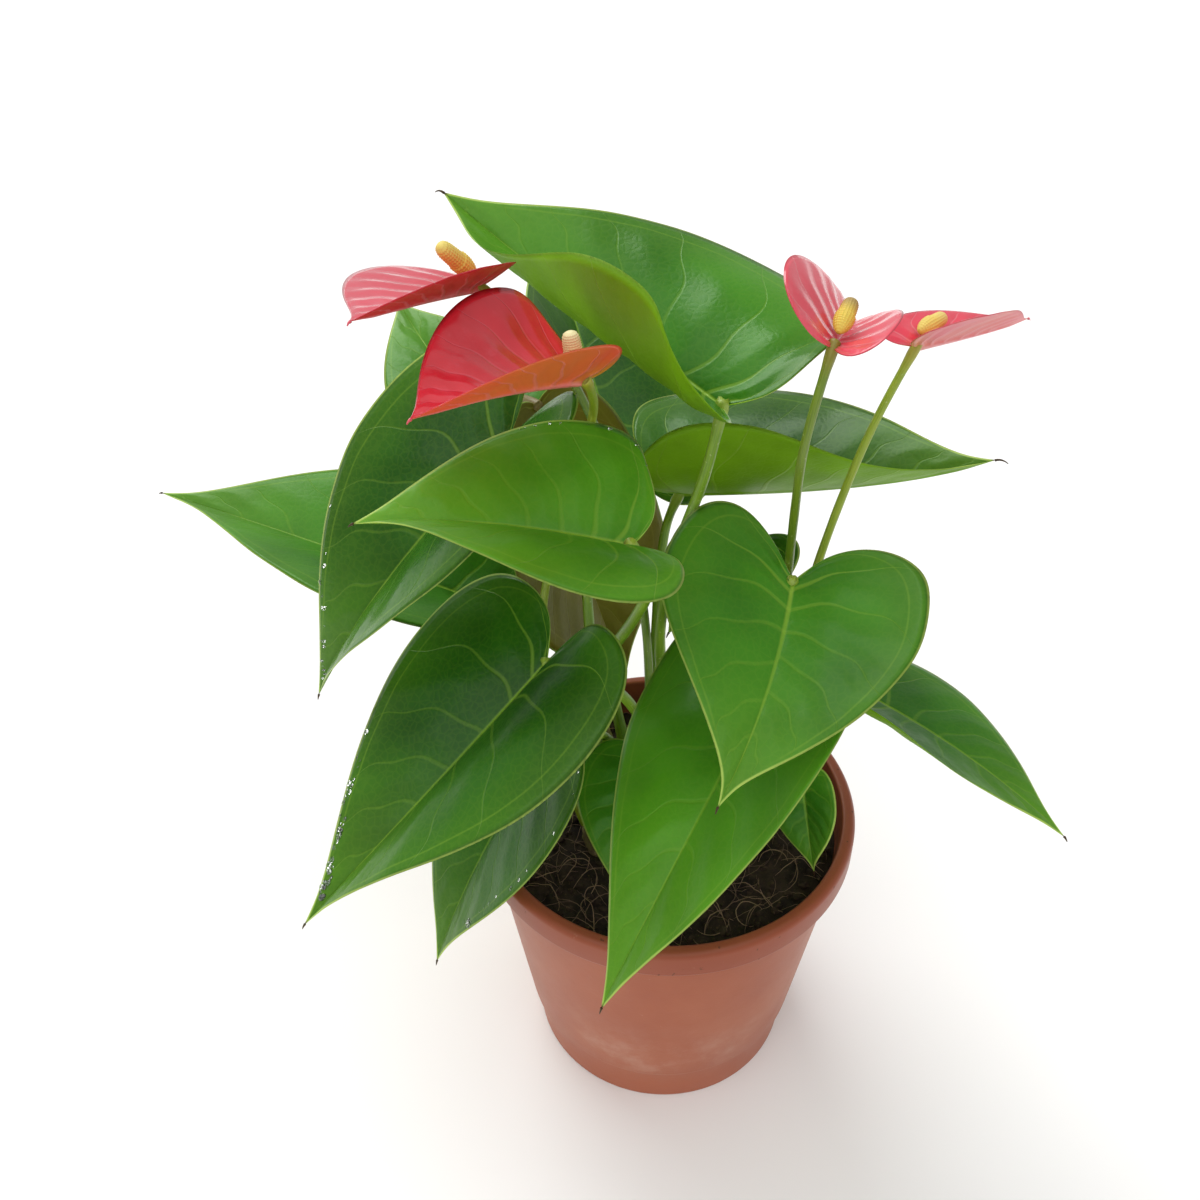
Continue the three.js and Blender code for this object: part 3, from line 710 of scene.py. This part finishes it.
def make_fibres(material):
    """Coir fibres strewn over the mix, each a fine curling strand."""
    points, faces, marks = [], [], []
    for _ in range(FIBRE_COUNT):
        radius = 54 * MM * math.sqrt(rng.random())
        turn = rng.uniform(0, 2 * math.pi)
        heading = rng.uniform(0, 2 * math.pi)
        bend = rng.uniform(-0.22, 0.22)
        x, y = radius * math.cos(turn), radius * math.sin(turn)
        rise = rng.uniform(0.3, 2.6) * MM
        steps = rng.randint(9, 20)
        line = []
        for step in range(steps):
            lift = rise * math.sin(math.pi * step / (steps - 1))
            line.append((x, y, mix_height(x, y) + 0.35 * MM + lift))
            heading += bend + rng.uniform(-0.16, 0.16)
            x += 1.1 * MM * math.cos(heading)
            y += 1.1 * MM * math.sin(heading)
            if math.hypot(x, y) > LITTER_RADIUS:
                break
        if len(line) < 4:
            continue
        girth = rng.uniform(0.07, 0.17) * MM
        shares = [i / (len(line) - 1) for i in range(len(line))]
        thick = [girth * math.sin(math.pi * (0.15 + 0.7 * share)) for share in shares]
        made, around, _ = sweep(np.array(line), thick, 5)
        start = len(points)
        points += made
        faces += [tuple(start + i for i in face) for face in around]
        marks += [(rng.random(), 0, 0)] * len(made)
    piece = make_object("coir_fibres", points, faces, [material])
    add_vectors(piece, "strand", marks)
    return piece


def make_crown(node, material):
    """A short stem, ringed with old leaf scars, with a rough knotted skin."""
    low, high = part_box(node)
    centre = (low + high) / 2
    reach = (high.x - low.x) / 2
    points = []
    for ring in range(CROWN_RINGS):
        share = ring / (CROWN_RINGS - 1)
        height = low.z + (high.z - low.z + 1.5 * MM) * share
        dome = (1 - share**7) ** 0.5
        for side, (x, y) in enumerate(circle(CROWN_SIDES)):
            turn = 2 * math.pi * side / CROWN_SIDES
            knot = 1 + 0.05 * math.sin(15 * share + 2 * math.sin(turn + 4 * share))
            rough = 1 + 0.12 * noise.noise(Vector((x * 2, y * 2, 9 * share + centre.x * 90)))
            radius = reach * 0.9 * dome * knot * rough + 0.2 * MM
            points.append((centre.x + radius * x, centre.y + radius * y, height))
    return make_object("fine_" + node, points, ring_faces(CROWN_RINGS, CROWN_SIDES), [material])


# Materials. A small helper keeps each one's node graph readable.


class Graph:
    """One material's node graph."""

    def __init__(self, name):
        self.material = bpy.data.materials.new(name)
        self.material.use_nodes = True
        self.nodes = self.material.node_tree.nodes
        self.links = self.material.node_tree.links
        self.shader = self.nodes["Principled BSDF"]

    def put(self, value, socket):
        """Links another node's output to a socket, or sets the socket to a plain value."""
        if isinstance(value, bpy.types.NodeSocket):
            self.links.new(value, socket)
        elif isinstance(value, tuple) and len(value) == 3 and len(socket.default_value) == 4:
            socket.default_value = (*value, 1)
        else:
            socket.default_value = value

    def math(self, operation, a, b=0.0):
        node = self.nodes.new("ShaderNodeMath")
        node.operation = operation
        self.put(a, node.inputs[0])
        self.put(b, node.inputs[1])
        return node.outputs[0]

    def times(self, a, b):
        return self.math("MULTIPLY", a, b)

    def plus(self, a, b):
        return self.math("ADD", a, b)

    def minus(self, a, b):
        return self.math("SUBTRACT", a, b)

    def fade(self, value, low, high):
        """1 below the low value, easing to 0 above the high one."""
        return self.minus(1.0, self.smooth(value, low, high))

    def line(self, distance, width):
        """1 on a line, fading to 0 at a width from it, both in the same unit."""
        return self.fade(self.math("DIVIDE", distance, width), 0.25, 1.0)

    def smooth(self, value, low, high):
        node = self.nodes.new("ShaderNodeMapRange")
        node.interpolation_type = "SMOOTHSTEP"
        self.put(value, node.inputs["Value"])
        self.put(low, node.inputs["From Min"])
        self.put(high, node.inputs["From Max"])
        return node.outputs["Result"]

    def mix(self, share, a, b, way="MIX"):
        node = self.nodes.new("ShaderNodeMix")
        node.data_type = "RGBA"
        node.blend_type = way
        self.put(share, node.inputs["Factor"])
        self.put(a, node.inputs[6])
        self.put(b, node.inputs[7])
        return node.outputs[2]

    def place(self):
        return self.nodes.new("ShaderNodeTexCoord").outputs["Object"]

    def noise(self, scale, detail=3.0, rough=0.55, where=None, shift=0.0):
        node = self.nodes.new("ShaderNodeTexNoise")
        node.noise_dimensions = "4D"
        self.put(where if where is not None else self.place(), node.inputs["Vector"])
        node.inputs["W"].default_value = shift
        node.inputs["Scale"].default_value = scale
        node.inputs["Detail"].default_value = detail
        node.inputs["Roughness"].default_value = rough
        return node.outputs["Fac"]

    def cells(self, scale):
        """Distance from the nearest wall in a net of small cells."""
        node = self.nodes.new("ShaderNodeTexVoronoi")
        node.feature = "DISTANCE_TO_EDGE"
        self.put(self.place(), node.inputs["Vector"])
        node.inputs["Scale"].default_value = scale
        return node.outputs["Distance"]

    def read(self, name):
        """The three parts of a stored vertex value."""
        node = self.nodes.new("ShaderNodeAttribute")
        node.attribute_name = name
        apart = self.nodes.new("ShaderNodeSeparateXYZ")
        self.links.new(node.outputs["Vector"], apart.inputs[0])
        return apart.outputs

    def gather(self, x, y, z):
        node = self.nodes.new("ShaderNodeCombineXYZ")
        for value, socket in zip((x, y, z), node.inputs):
            self.put(value, socket)
        return node.outputs[0]

    def bump(self, height, strength, distance):
        node = self.nodes.new("ShaderNodeBump")
        node.inputs["Strength"].default_value = strength
        node.inputs["Distance"].default_value = distance
        self.put(height, node.inputs["Height"])
        self.links.new(node.outputs[0], self.shader.inputs["Normal"])

    def finish(self, colour, roughness, **constant):
        self.put(colour, self.shader.inputs["Base Color"])
        self.put(roughness, self.shader.inputs["Roughness"])
        for name, value in constant.items():
            self.shader.inputs[name.replace("_", " ")].default_value = value
        return self.material


def blade_lines(graph, rib_width, vein_width):
    """Shares for the midrib, the side veins, the vein along the margin, and the margin itself."""
    phase, spread, outward = graph.read("veins")
    row, reach, to_edge = graph.read("place")
    apart = graph.math("ABSOLUTE", graph.minus(graph.math("FRACT", phase), 0.5))
    off_vein = graph.times(apart, spread)
    narrow = graph.minus(1.15, reach)
    vein = graph.line(off_vein, graph.times(narrow, vein_width))
    thin = graph.minus(1.1, row)
    rib = graph.line(graph.math("ABSOLUTE", outward), graph.times(thin, rib_width))
    width = graph.plus(to_edge, graph.math("ABSOLUTE", outward))
    off_collar = graph.times(graph.math("ABSOLUTE", graph.minus(reach, 0.86)), width)
    collar = graph.times(graph.line(off_collar, 0.45), graph.smooth(width, 6.0, 16.0))
    edge = graph.fade(to_edge, 0.3, 0.85)
    return rib, vein, collar, edge, row, reach


# A leaf's wax keeps its reflections green.
WAX = {"Specular_Tint": (0.72, 1.0, 0.62, 1)}


def leaf_face(name, dark, light, pale, gloss, shift):
    """The upper side of a leaf: waxy, with pale veins, a fine net between them and a pale rim."""
    graph = Graph(name)
    rib, vein, collar, edge, row, reach = blade_lines(graph, 1.5, 0.95)
    broad = graph.smooth(graph.noise(22, 2, shift=shift), 0.32, 0.68)
    flecks = graph.noise(420, 4, 0.7, shift=shift)
    net = graph.fade(graph.cells(430), 0.0, 0.16)
    colour = graph.mix(broad, dark, light)
    outer = graph.times(graph.smooth(reach, 0.45, 1.0), 0.4)
    outer = graph.math("MAXIMUM", outer, graph.smooth(row, 0.5, 1.05))
    colour = graph.mix(graph.times(outer, 0.62), colour, graph.mix(0.45, light, pale))
    colour = graph.mix(graph.times(flecks, 0.35), colour, light)
    colour = graph.mix(graph.times(net, 0.05), colour, pale)
    near_root = graph.fade(row, 0.0, 0.55)
    vein_share = graph.times(vein, graph.plus(0.14, graph.times(near_root, 0.42)))
    colour = graph.mix(vein_share, colour, pale)
    colour = graph.mix(graph.times(collar, 0.2), colour, pale)
    rib_share = graph.times(rib, graph.plus(0.45, graph.times(near_root, 0.5)))
    colour = graph.mix(rib_share, colour, pale)
    colour = graph.mix(graph.times(edge, 0.9), colour, (0.42, 0.58, 0.11))
    colour = graph.mix(graph.smooth(row, 0.985, 0.997), colour, (0.06, 0.03, 0.015))
    streaks = graph.noise(60, 5, 0.62, shift=shift + 2)
    roughness = graph.plus(gloss, graph.times(streaks, 0.24))
    relief = graph.minus(graph.times(graph.cells(430), 0.5), graph.times(vein, 0.5))
    relief = graph.plus(relief, graph.times(graph.noise(160, 4, shift=shift), 0.55))
    relief = graph.minus(relief, graph.times(rib, 0.5))
    graph.bump(relief, 0.45, 0.35 * MM)
    coat = {"Coat_Weight": 0.05, "Coat_Roughness": 0.1}
    return graph.finish(colour, roughness, Specular_IOR_Level=0.26, **coat, **WAX)


def leaf_back(name, base, pale, shift):
    """The under side: paler and duller, with standing veins."""
    graph = Graph(name)
    rib, vein, collar, edge, row, reach = blade_lines(graph, 2.2, 1.1)
    broad = graph.smooth(graph.noise(30, 3, shift=shift), 0.3, 0.7)
    net = graph.fade(graph.cells(430), 0.0, 0.2)
    colour = graph.mix(broad, base, tuple(0.68 * c for c in base))
    colour = graph.mix(graph.times(net, 0.08), colour, pale)
    lines = graph.math("MAXIMUM", graph.times(vein, 0.5), graph.times(rib, 0.85))
    lines = graph.math("MAXIMUM", lines, graph.times(edge, 0.6))
    colour = graph.mix(lines, colour, pale)
    roughness = graph.plus(0.4, graph.times(graph.noise(90, 4), 0.2))
    relief = graph.plus(graph.times(vein, 0.8), graph.times(graph.noise(300, 3), 0.35))
    relief = graph.minus(relief, graph.times(net, 0.15))
    graph.bump(relief, 0.5, 0.35 * MM)
    return graph.finish(colour, roughness, Specular_IOR_Level=0.2, **WAX)


def spathe_face(name, deep, bright, pale, root_colour, vein_share, shift):
    """A spathe's glossy face: quilted between sunken veins, streaked with paler colour."""
    graph = Graph(name)
    rib, vein, collar, edge, row, reach = blade_lines(graph, 1.3, 1.0)
    broad = graph.smooth(graph.noise(45, 3, shift=shift), 0.3, 0.7)
    colour = graph.mix(broad, deep, bright)
    flecks = graph.noise(650, 4, 0.7, shift=shift)
    colour = graph.mix(graph.times(flecks, 0.3), colour, bright)
    blotch = graph.smooth(graph.noise(110, 5, 0.65, shift=shift + 4), 0.5, 0.72)
    colour = graph.mix(graph.times(blotch, 0.16), colour, pale)
    colour = graph.mix(graph.times(vein, vein_share), colour, pale)
    colour = graph.mix(graph.times(rib, 0.5), colour, pale)
    near_root = graph.fade(row, 0.04, 0.2)
    centre = graph.fade(reach, 0.1, 0.7)
    colour = graph.mix(graph.times(near_root, centre), colour, root_colour)
    colour = graph.mix(graph.times(edge, 0.5), colour, deep)
    roughness = graph.plus(0.12, graph.times(graph.noise(75, 5, 0.6, shift=shift), 0.2))
    relief = graph.minus(graph.times(graph.noise(230, 5, 0.6), 0.6), graph.times(vein, 0.4))
    relief = graph.minus(relief, graph.times(rib, 0.7))
    graph.bump(relief, 0.55, 0.4 * MM)
    return graph.finish(colour, roughness, Coat_Weight=0.45, Coat_Roughness=0.1)


def spathe_back(name, base, tint, pale, shift):
    graph = Graph(name)
    rib, vein, collar, edge, row, reach = blade_lines(graph, 1.8, 1.0)
    broad = graph.smooth(graph.noise(38, 4, shift=shift), 0.35, 0.65)
    colour = graph.mix(graph.times(broad, 0.3), base, tint)
    near_root = graph.fade(row, 0.04, 0.34)
    colour = graph.mix(near_root, colour, tint)
    lines = graph.math("MAXIMUM", graph.times(vein, 0.25), graph.times(rib, 0.5))
    colour = graph.mix(lines, colour, pale)
    roughness = graph.plus(0.28, graph.times(graph.noise(120, 4), 0.2))
    relief = graph.plus(vein, graph.times(graph.noise(320, 4), 0.4))
    graph.bump(relief, 0.4, 0.35 * MM)
    return graph.finish(colour, roughness)


def stalk_skin(name, low, high, knee):
    """A stalk: streaked lengthwise, speckled with pale dots, darker or browner at its knee."""
    graph = Graph(name)
    to_top, turn_x, turn_y = graph.read("stalk")
    where = graph.gather(
        graph.times(turn_x, 1.6), graph.times(turn_y, 1.6), graph.times(to_top, 0.035)
    )
    streaks = graph.smooth(graph.noise(3.2, 4, 0.6, where=where), 0.3, 0.7)
    colour = graph.mix(streaks, low, high)
    dots = graph.smooth(graph.noise(900, 1), 0.66, 0.74)
    colour = graph.mix(graph.times(dots, 0.35), colour, (0.62, 0.66, 0.3))
    at_knee = graph.fade(to_top, 4.0, 13.0)
    colour = graph.mix(graph.times(at_knee, 0.7), colour, knee)
    roughness = graph.plus(0.3, graph.times(streaks, 0.16))
    graph.bump(graph.noise(6, 5, 0.65, where=where), 0.35, 0.3 * MM)
    return graph.finish(colour, roughness, Coat_Weight=0.08)


def spadix_skin(name, low, high):
    graph = Graph(name)
    share, weave, _ = graph.read("spadix")
    colour = graph.mix(graph.smooth(share, 0.45, 0.95), low, high)
    # Between the raised florets the colour is painted darker brown: painted shade in the hollows.
    raised = graph.smooth(weave, 0.25, 0.9)
    colour = graph.mix(raised, graph.mix(0.3, colour, (0.45, 0.3, 0.03)), colour)
    colour = graph.mix(graph.times(graph.noise(1500, 3), 0.3), colour, (0.85, 0.75, 0.35))
    graph.bump(graph.noise(2200, 3), 0.5, 0.15 * MM)
    roughness = graph.plus(0.42, graph.times(graph.noise(800, 3), 0.2))
    return graph.finish(colour, roughness)


def pot_plastic():
    """Terracotta-coloured plastic, with a pale bloom, scuffs, soil specks near the rim, the rim
    painted darker as painted shade, and soil-coloured patches on the inner wall near the rim that
    stand for soil stain and painted shade.
    """
    graph = Graph("pot_terracotta")
    apart = graph.nodes.new("ShaderNodeSeparateXYZ")
    graph.links.new(graph.place(), apart.inputs[0])
    x, y, z = apart.outputs
    out = graph.math("SQRT", graph.plus(graph.times(x, x), graph.times(y, y)))
    broad = graph.smooth(graph.noise(18, 4, 0.6), 0.3, 0.7)
    colour = graph.mix(broad, (0.35, 0.088, 0.038), (0.41, 0.12, 0.055))
    low = graph.fade(z, 0.004, 0.0185)
    colour = graph.mix(graph.times(low, 0.6), colour, (0.42, 0.11, 0.045))
    # The rim is painted a darker red-brown: painted shade on the rolled rim.
    rim_painted_shade = graph.times(graph.smooth(z, 0.092, 0.1), 0.7)
    colour = graph.mix(rim_painted_shade, colour, (0.27, 0.065, 0.035))
    bloom_place = graph.times(graph.smooth(z, 0.012, 0.026), graph.fade(z, 0.03, 0.062))
    bloom = graph.times(bloom_place, graph.smooth(graph.noise(48, 6, 0.66), 0.42, 0.75))
    colour = graph.mix(graph.times(bloom, 0.55), colour, (0.62, 0.42, 0.34))
    scuffs = graph.smooth(graph.noise(240, 6, 0.75), 0.62, 0.72)
    colour = graph.mix(graph.times(scuffs, 0.25), colour, (0.6, 0.34, 0.24))
    near_rim = graph.smooth(z, 0.088, 0.1)
    specks = graph.times(graph.smooth(graph.noise(330, 3, 0.6, shift=3.0), 0.66, 0.72), near_rim)
    # Soil-coloured patches on the inner wall near the rim: partly soil stain, partly painted shade
    # inside the pot's mouth.
    inside = graph.times(graph.fade(out, 0.0595, 0.0606), near_rim)
    stain_and_painted_shade = graph.times(inside, graph.smooth(graph.noise(70, 6, 0.7, shift=5.0), 0.3, 0.6))
    # soil joins the real soil specks with the stain and painted shade on the inner wall.
    soil = graph.math("MAXIMUM", graph.times(specks, 0.7), graph.times(stain_and_painted_shade, 0.75))
    colour = graph.mix(soil, colour, (0.06, 0.035, 0.022))
    roughness = graph.plus(0.3, graph.times(graph.noise(90, 6, 0.7), 0.16))
    roughness = graph.plus(roughness, graph.times(graph.math("MAXIMUM", soil, bloom), 0.3))
    graph.bump(graph.noise(700, 6, 0.7), 0.16, 0.25 * MM)
    warm = (1.0, 0.8, 0.72, 1)
    return graph.finish(colour, roughness, Specular_IOR_Level=0.32, Specular_Tint=warm)


def mix_soil(name, dark, brown):
    graph = Graph(name)
    colour = graph.mix(graph.smooth(graph.noise(140, 6, 0.7), 0.35, 0.7), dark, brown)
    bark = graph.smooth(graph.noise(900, 3, 0.7, shift=2.0), 0.6, 0.72)
    colour = graph.mix(bark, colour, (0.16, 0.09, 0.045))
    relief = graph.plus(graph.noise(500, 8, 0.75), graph.times(graph.noise(1600, 4, 0.7), 0.4))
    graph.bump(relief, 0.9, 1.2 * MM)
    roughness = graph.plus(0.72, graph.times(graph.noise(300), 0.25))
    return graph.finish(colour, roughness, Specular_IOR_Level=0.25)


def coir():
    graph = Graph("coir_fibre")
    tone, _, _ = graph.read("strand")
    colour = graph.mix(tone, (0.1, 0.06, 0.04), (0.42, 0.28, 0.18))
    colour = graph.mix(graph.times(graph.noise(700, 3), 0.4), colour, (0.2, 0.1, 0.05))
    graph.bump(graph.noise(2500, 3), 0.4, 0.1 * MM)
    roughness = graph.plus(0.55, graph.times(tone, 0.2))
    return graph.finish(colour, roughness)


def dew_water():
    graph = Graph("dew_water")
    ripple = graph.noise(900, 2)
    graph.bump(ripple, 0.2, 0.1 * MM)
    roughness = graph.times(ripple, 0.05)
    colour = graph.mix(ripple, (0.9, 1.0, 0.9), (1.0, 1.0, 1.0))
    coat = {"Coat_Weight": 1.0, "Coat_Roughness": 0.02}
    return graph.finish(colour, roughness, Transmission_Weight=1.0, IOR=1.33, **coat)


def crown_skin():
    graph = Graph("crown_sheath")
    broad = graph.smooth(graph.noise(60, 5, 0.65), 0.35, 0.65)
    colour = graph.mix(broad, (0.13, 0.085, 0.035), (0.2, 0.22, 0.06))
    papery = graph.smooth(graph.noise(320, 4, 0.7), 0.55, 0.7)
    colour = graph.mix(papery, colour, (0.36, 0.24, 0.12))
    graph.bump(graph.noise(380, 6, 0.7), 0.7, 0.7 * MM)
    roughness = graph.plus(0.55, graph.times(graph.noise(200), 0.25))
    return graph.finish(colour, roughness)


def floor_paper():
    graph = Graph("floor_paper")
    shade = graph.smooth(graph.noise(3.0, 3), 0.3, 0.7)
    colour = graph.mix(shade, (0.93, 0.92, 0.905), (0.95, 0.945, 0.94))
    graph.bump(graph.noise(260, 4), 0.05, 0.2 * MM)
    roughness = graph.plus(0.75, graph.times(shade, 0.1))
    return graph.finish(colour, roughness, Specular_IOR_Level=0.2)


# Assembly.

DARK = ((0.009, 0.052, 0.004), (0.028, 0.135, 0.006))
MIDDLE = ((0.019, 0.105, 0.005), (0.052, 0.23, 0.009))
FRESH = ((0.03, 0.14, 0.005), (0.085, 0.31, 0.01))
PALE = (0.25, 0.43, 0.04)
UNDER = (0.21, 0.45, 0.008)

# Each leaf's tone, and its gloss as the least roughness.
LEAF_LOOKS = {
    "leaf_top_back": (MIDDLE, 0.16),
    "leaf_right_back": (DARK, 0.18),
    "leaf_middle": (FRESH, 0.26),
    "leaf_left_dark": (DARK, 0.14),
    "leaf_far_left": (MIDDLE, 0.26),
    "leaf_right_heart": (MIDDLE, 0.32),
    "leaf_front": (FRESH, 0.28),
    "leaf_front_left": (DARK, 0.2),
    "leaf_low_left": (DARK, 0.24),
    "leaf_low_middle": (MIDDLE, 0.28),
    "leaf_right_low": (MIDDLE, 0.26),
    "leaf_small_right": (MIDDLE, 0.28),
    "leaf_back_upright": (DARK, 0.2),
    "leaf_left_small": (MIDDLE, 0.22),
    "leaf_right_hidden": (DARK, 0.24),
}


def add_leaves():
    back = leaf_back("leaf_under", UNDER, PALE, 0.0)
    skin = stalk_skin("petiole_skin", (0.13, 0.26, 0.01), (0.25, 0.42, 0.02), (0.32, 0.44, 0.05))
    for number, (name, (tone, gloss)) in enumerate(LEAF_LOOKS.items()):
        face = leaf_face(name + "_face", *tone, PALE, gloss, float(number))
        stalk = name.replace("leaf", "petiole")
        sizes = LEAF_THICKNESS, LEAF_VEINS, LEAF_QUILT
        piece = make_blade(name, stalk, *sizes, [face, back], number)
        finish_piece(piece, "leaf", name)
        finish_piece(make_stalk(stalk, name, 0.22, skin), "petiole", stalk)
    water = dew_water()
    for name in DEW:
        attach(make_dew(name, water), "root")


def add_young_leaf():
    name = "leaf_young_bronze"
    stalk = "petiole_young_bronze"
    browns = (0.13, 0.11, 0.01), (0.22, 0.18, 0.018), (0.34, 0.32, 0.06)
    face = leaf_face("bronze_face", *browns, 0.34, 31.0)
    back = leaf_back("bronze_under", (0.3, 0.24, 0.02), (0.4, 0.36, 0.06), 3.0)
    skin = stalk_skin("bronze_stalk", (0.2, 0.16, 0.04), (0.32, 0.28, 0.08), (0.3, 0.2, 0.06))
    piece = make_blade(name, stalk, LEAF_THICKNESS, LEAF_VEINS, 0.5 * MM, [face, back], 41)
    finish_piece(piece, "young_leaf", name)
    finish_piece(make_stalk(stalk, name, 0.15, skin), "petiole", stalk)


# Each flower: its spathe's deep, bright and pale reds, the colour where the stalk meets it, how
# plain its veins are, its under side, its stalk, and its spadix's low and high colour.
FLOWER_LOOKS = {
    "left": (
        (0.6, 0.02, 0.045), (0.74, 0.06, 0.1), (0.85, 0.3, 0.36), (0.5, 0.05, 0.03), 0.12,
        ((0.66, 0.02, 0.045), (0.6, 0.05, 0.05)),
        ((0.11, 0.2, 0.01), (0.2, 0.32, 0.02), (0.3, 0.2, 0.03)),
        ((0.88, 0.62, 0.06), (0.92, 0.74, 0.14)),
    ),
    "front": (
        (0.55, 0.008, 0.02), (0.72, 0.03, 0.05), (0.8, 0.2, 0.26), (0.5, 0.1, 0.04), 0.16,
        ((0.78, 0.07, 0.035), (0.52, 0.25, 0.02)),
        ((0.26, 0.36, 0.012), (0.4, 0.48, 0.03), (0.4, 0.34, 0.03)),
        ((0.85, 0.78, 0.36), (0.9, 0.86, 0.5)),
    ),
    "right_back": (
        (0.66, 0.03, 0.06), (0.8, 0.09, 0.13), (0.92, 0.42, 0.45), (0.62, 0.12, 0.08), 0.2,
        ((0.68, 0.06, 0.08), (0.62, 0.14, 0.08)),
        ((0.1, 0.17, 0.008), (0.19, 0.28, 0.014), (0.26, 0.18, 0.02)),
        ((0.86, 0.66, 0.05), (0.26, 0.15, 0.05)),
    ),
    "right": (
        (0.66, 0.022, 0.06), (0.8, 0.07, 0.11), (0.95, 0.5, 0.53), (0.66, 0.28, 0.14), 0.2,
        ((0.7, 0.05, 0.09), (0.68, 0.26, 0.12)),
        ((0.2, 0.3, 0.012), (0.36, 0.46, 0.03), (0.42, 0.36, 0.05)),
        ((0.84, 0.66, 0.1), (0.8, 0.66, 0.2)),
    ),
}


def add_flowers():
    for number, (name, looks) in enumerate(FLOWER_LOOKS.items()):
        *reds, vein_share, under, stem, spike = looks
        spathe, stalk, spadix = "spathe_" + name, "peduncle_" + name, "spadix_" + name
        face = spathe_face(spathe + "_face", *reds, vein_share, 10.0 + number)
        back = spathe_back(spathe + "_under", *under, reds[2], float(number))
        sizes = SPATHE_THICKNESS, SPATHE_VEINS, SPATHE_QUILT
        piece = make_blade(spathe, stalk, *sizes, [face, back], 60 + number)
        finish_piece(piece, "spathe", spathe)
        skin = stalk_skin(stalk + "_skin", *stem)
        finish_piece(make_stalk(stalk, spathe, 0.35, skin), "peduncle", stalk)
        spike_piece = make_spadix(spadix, spathe, stalk, spadix_skin(spadix + "_skin", *spike))
        finish_piece(spike_piece, "spadix", spadix)


def add_pot():
    finish_piece(make_pot(pot_plastic()), "pot", "pot")
    soil = mix_soil("potting_soil", (0.018, 0.012, 0.009), (0.06, 0.038, 0.025))
    finish_piece(make_mix(soil), "mix", "potting_mix")
    crumb = mix_soil("peat_crumb", (0.026, 0.017, 0.012), (0.09, 0.056, 0.036))
    finish_piece(make_crumbs(crumb), "mix")
    finish_piece(make_fibres(coir()), "mix")
    skin = crown_skin()
    for side in ("left", "back", "right"):
        finish_piece(make_crown("stem_" + side, skin), "stem", "stem_" + side)


def add_floor():
    half = 6
    corners = [(-half, -half, 0), (half, -half, 0), (half, half, 0), (-half, half, 0)]
    floor = make_object("floor", corners, [(0, 1, 2, 3)], [floor_paper()])


def add_sun(name, direction, strength, spread):
    """A distant soft lamp, which lights the floor evenly."""
    lamp = bpy.data.lights.new(name, "SUN")
    lamp.energy = strength
    lamp.angle = math.radians(spread)
    holder = bpy.data.objects.new(name, lamp)
    holder.rotation_euler = Vector(direction).to_track_quat("-Z", "Y").to_euler()
    bpy.context.scene.collection.objects.link(holder)


def add_lights():
    world = bpy.data.worlds.new("studio")
    world.use_nodes = True
    world.node_tree.nodes["Background"].inputs["Color"].default_value = (1.0, 1.0, 1.0, 1)
    world.node_tree.nodes["Background"].inputs["Strength"].default_value = 0.46
    bpy.context.scene.world = world
    add_sun("window", (0.45, -0.75, -1.0), 1.75, 40)
    add_sun("room", (0.1, 0.55, -1.0), 1.35, 75)


def add_camera():
    data = bpy.data.cameras.new("camera")
    data.sensor_width = 36
    data.lens = 36
    camera = bpy.data.objects.new("camera", data)
    pitch, roll = math.radians(CAMERA_PITCH), math.radians(CAMERA_ROLL)
    up = Vector((0, math.sin(pitch), math.cos(pitch)))
    ahead = Vector((0, math.cos(pitch), -math.sin(pitch)))
    side = Vector((1, 0, 0)) * math.cos(roll) + up * math.sin(roll)
    up = up * math.cos(roll) - Vector((1, 0, 0)) * math.sin(roll)
    axes = Matrix((side, up, -ahead)).transposed().to_4x4()
    camera.matrix_world = Matrix.Translation(CAMERA_PLACE) @ axes
    bpy.context.scene.collection.objects.link(camera)
    bpy.context.scene.camera = camera


add_camera()
add_lights()
add_floor()
add_pot()
add_leaves()
add_young_leaf()
add_flowers()

bpy.context.scene.view_settings.view_transform = "Standard"
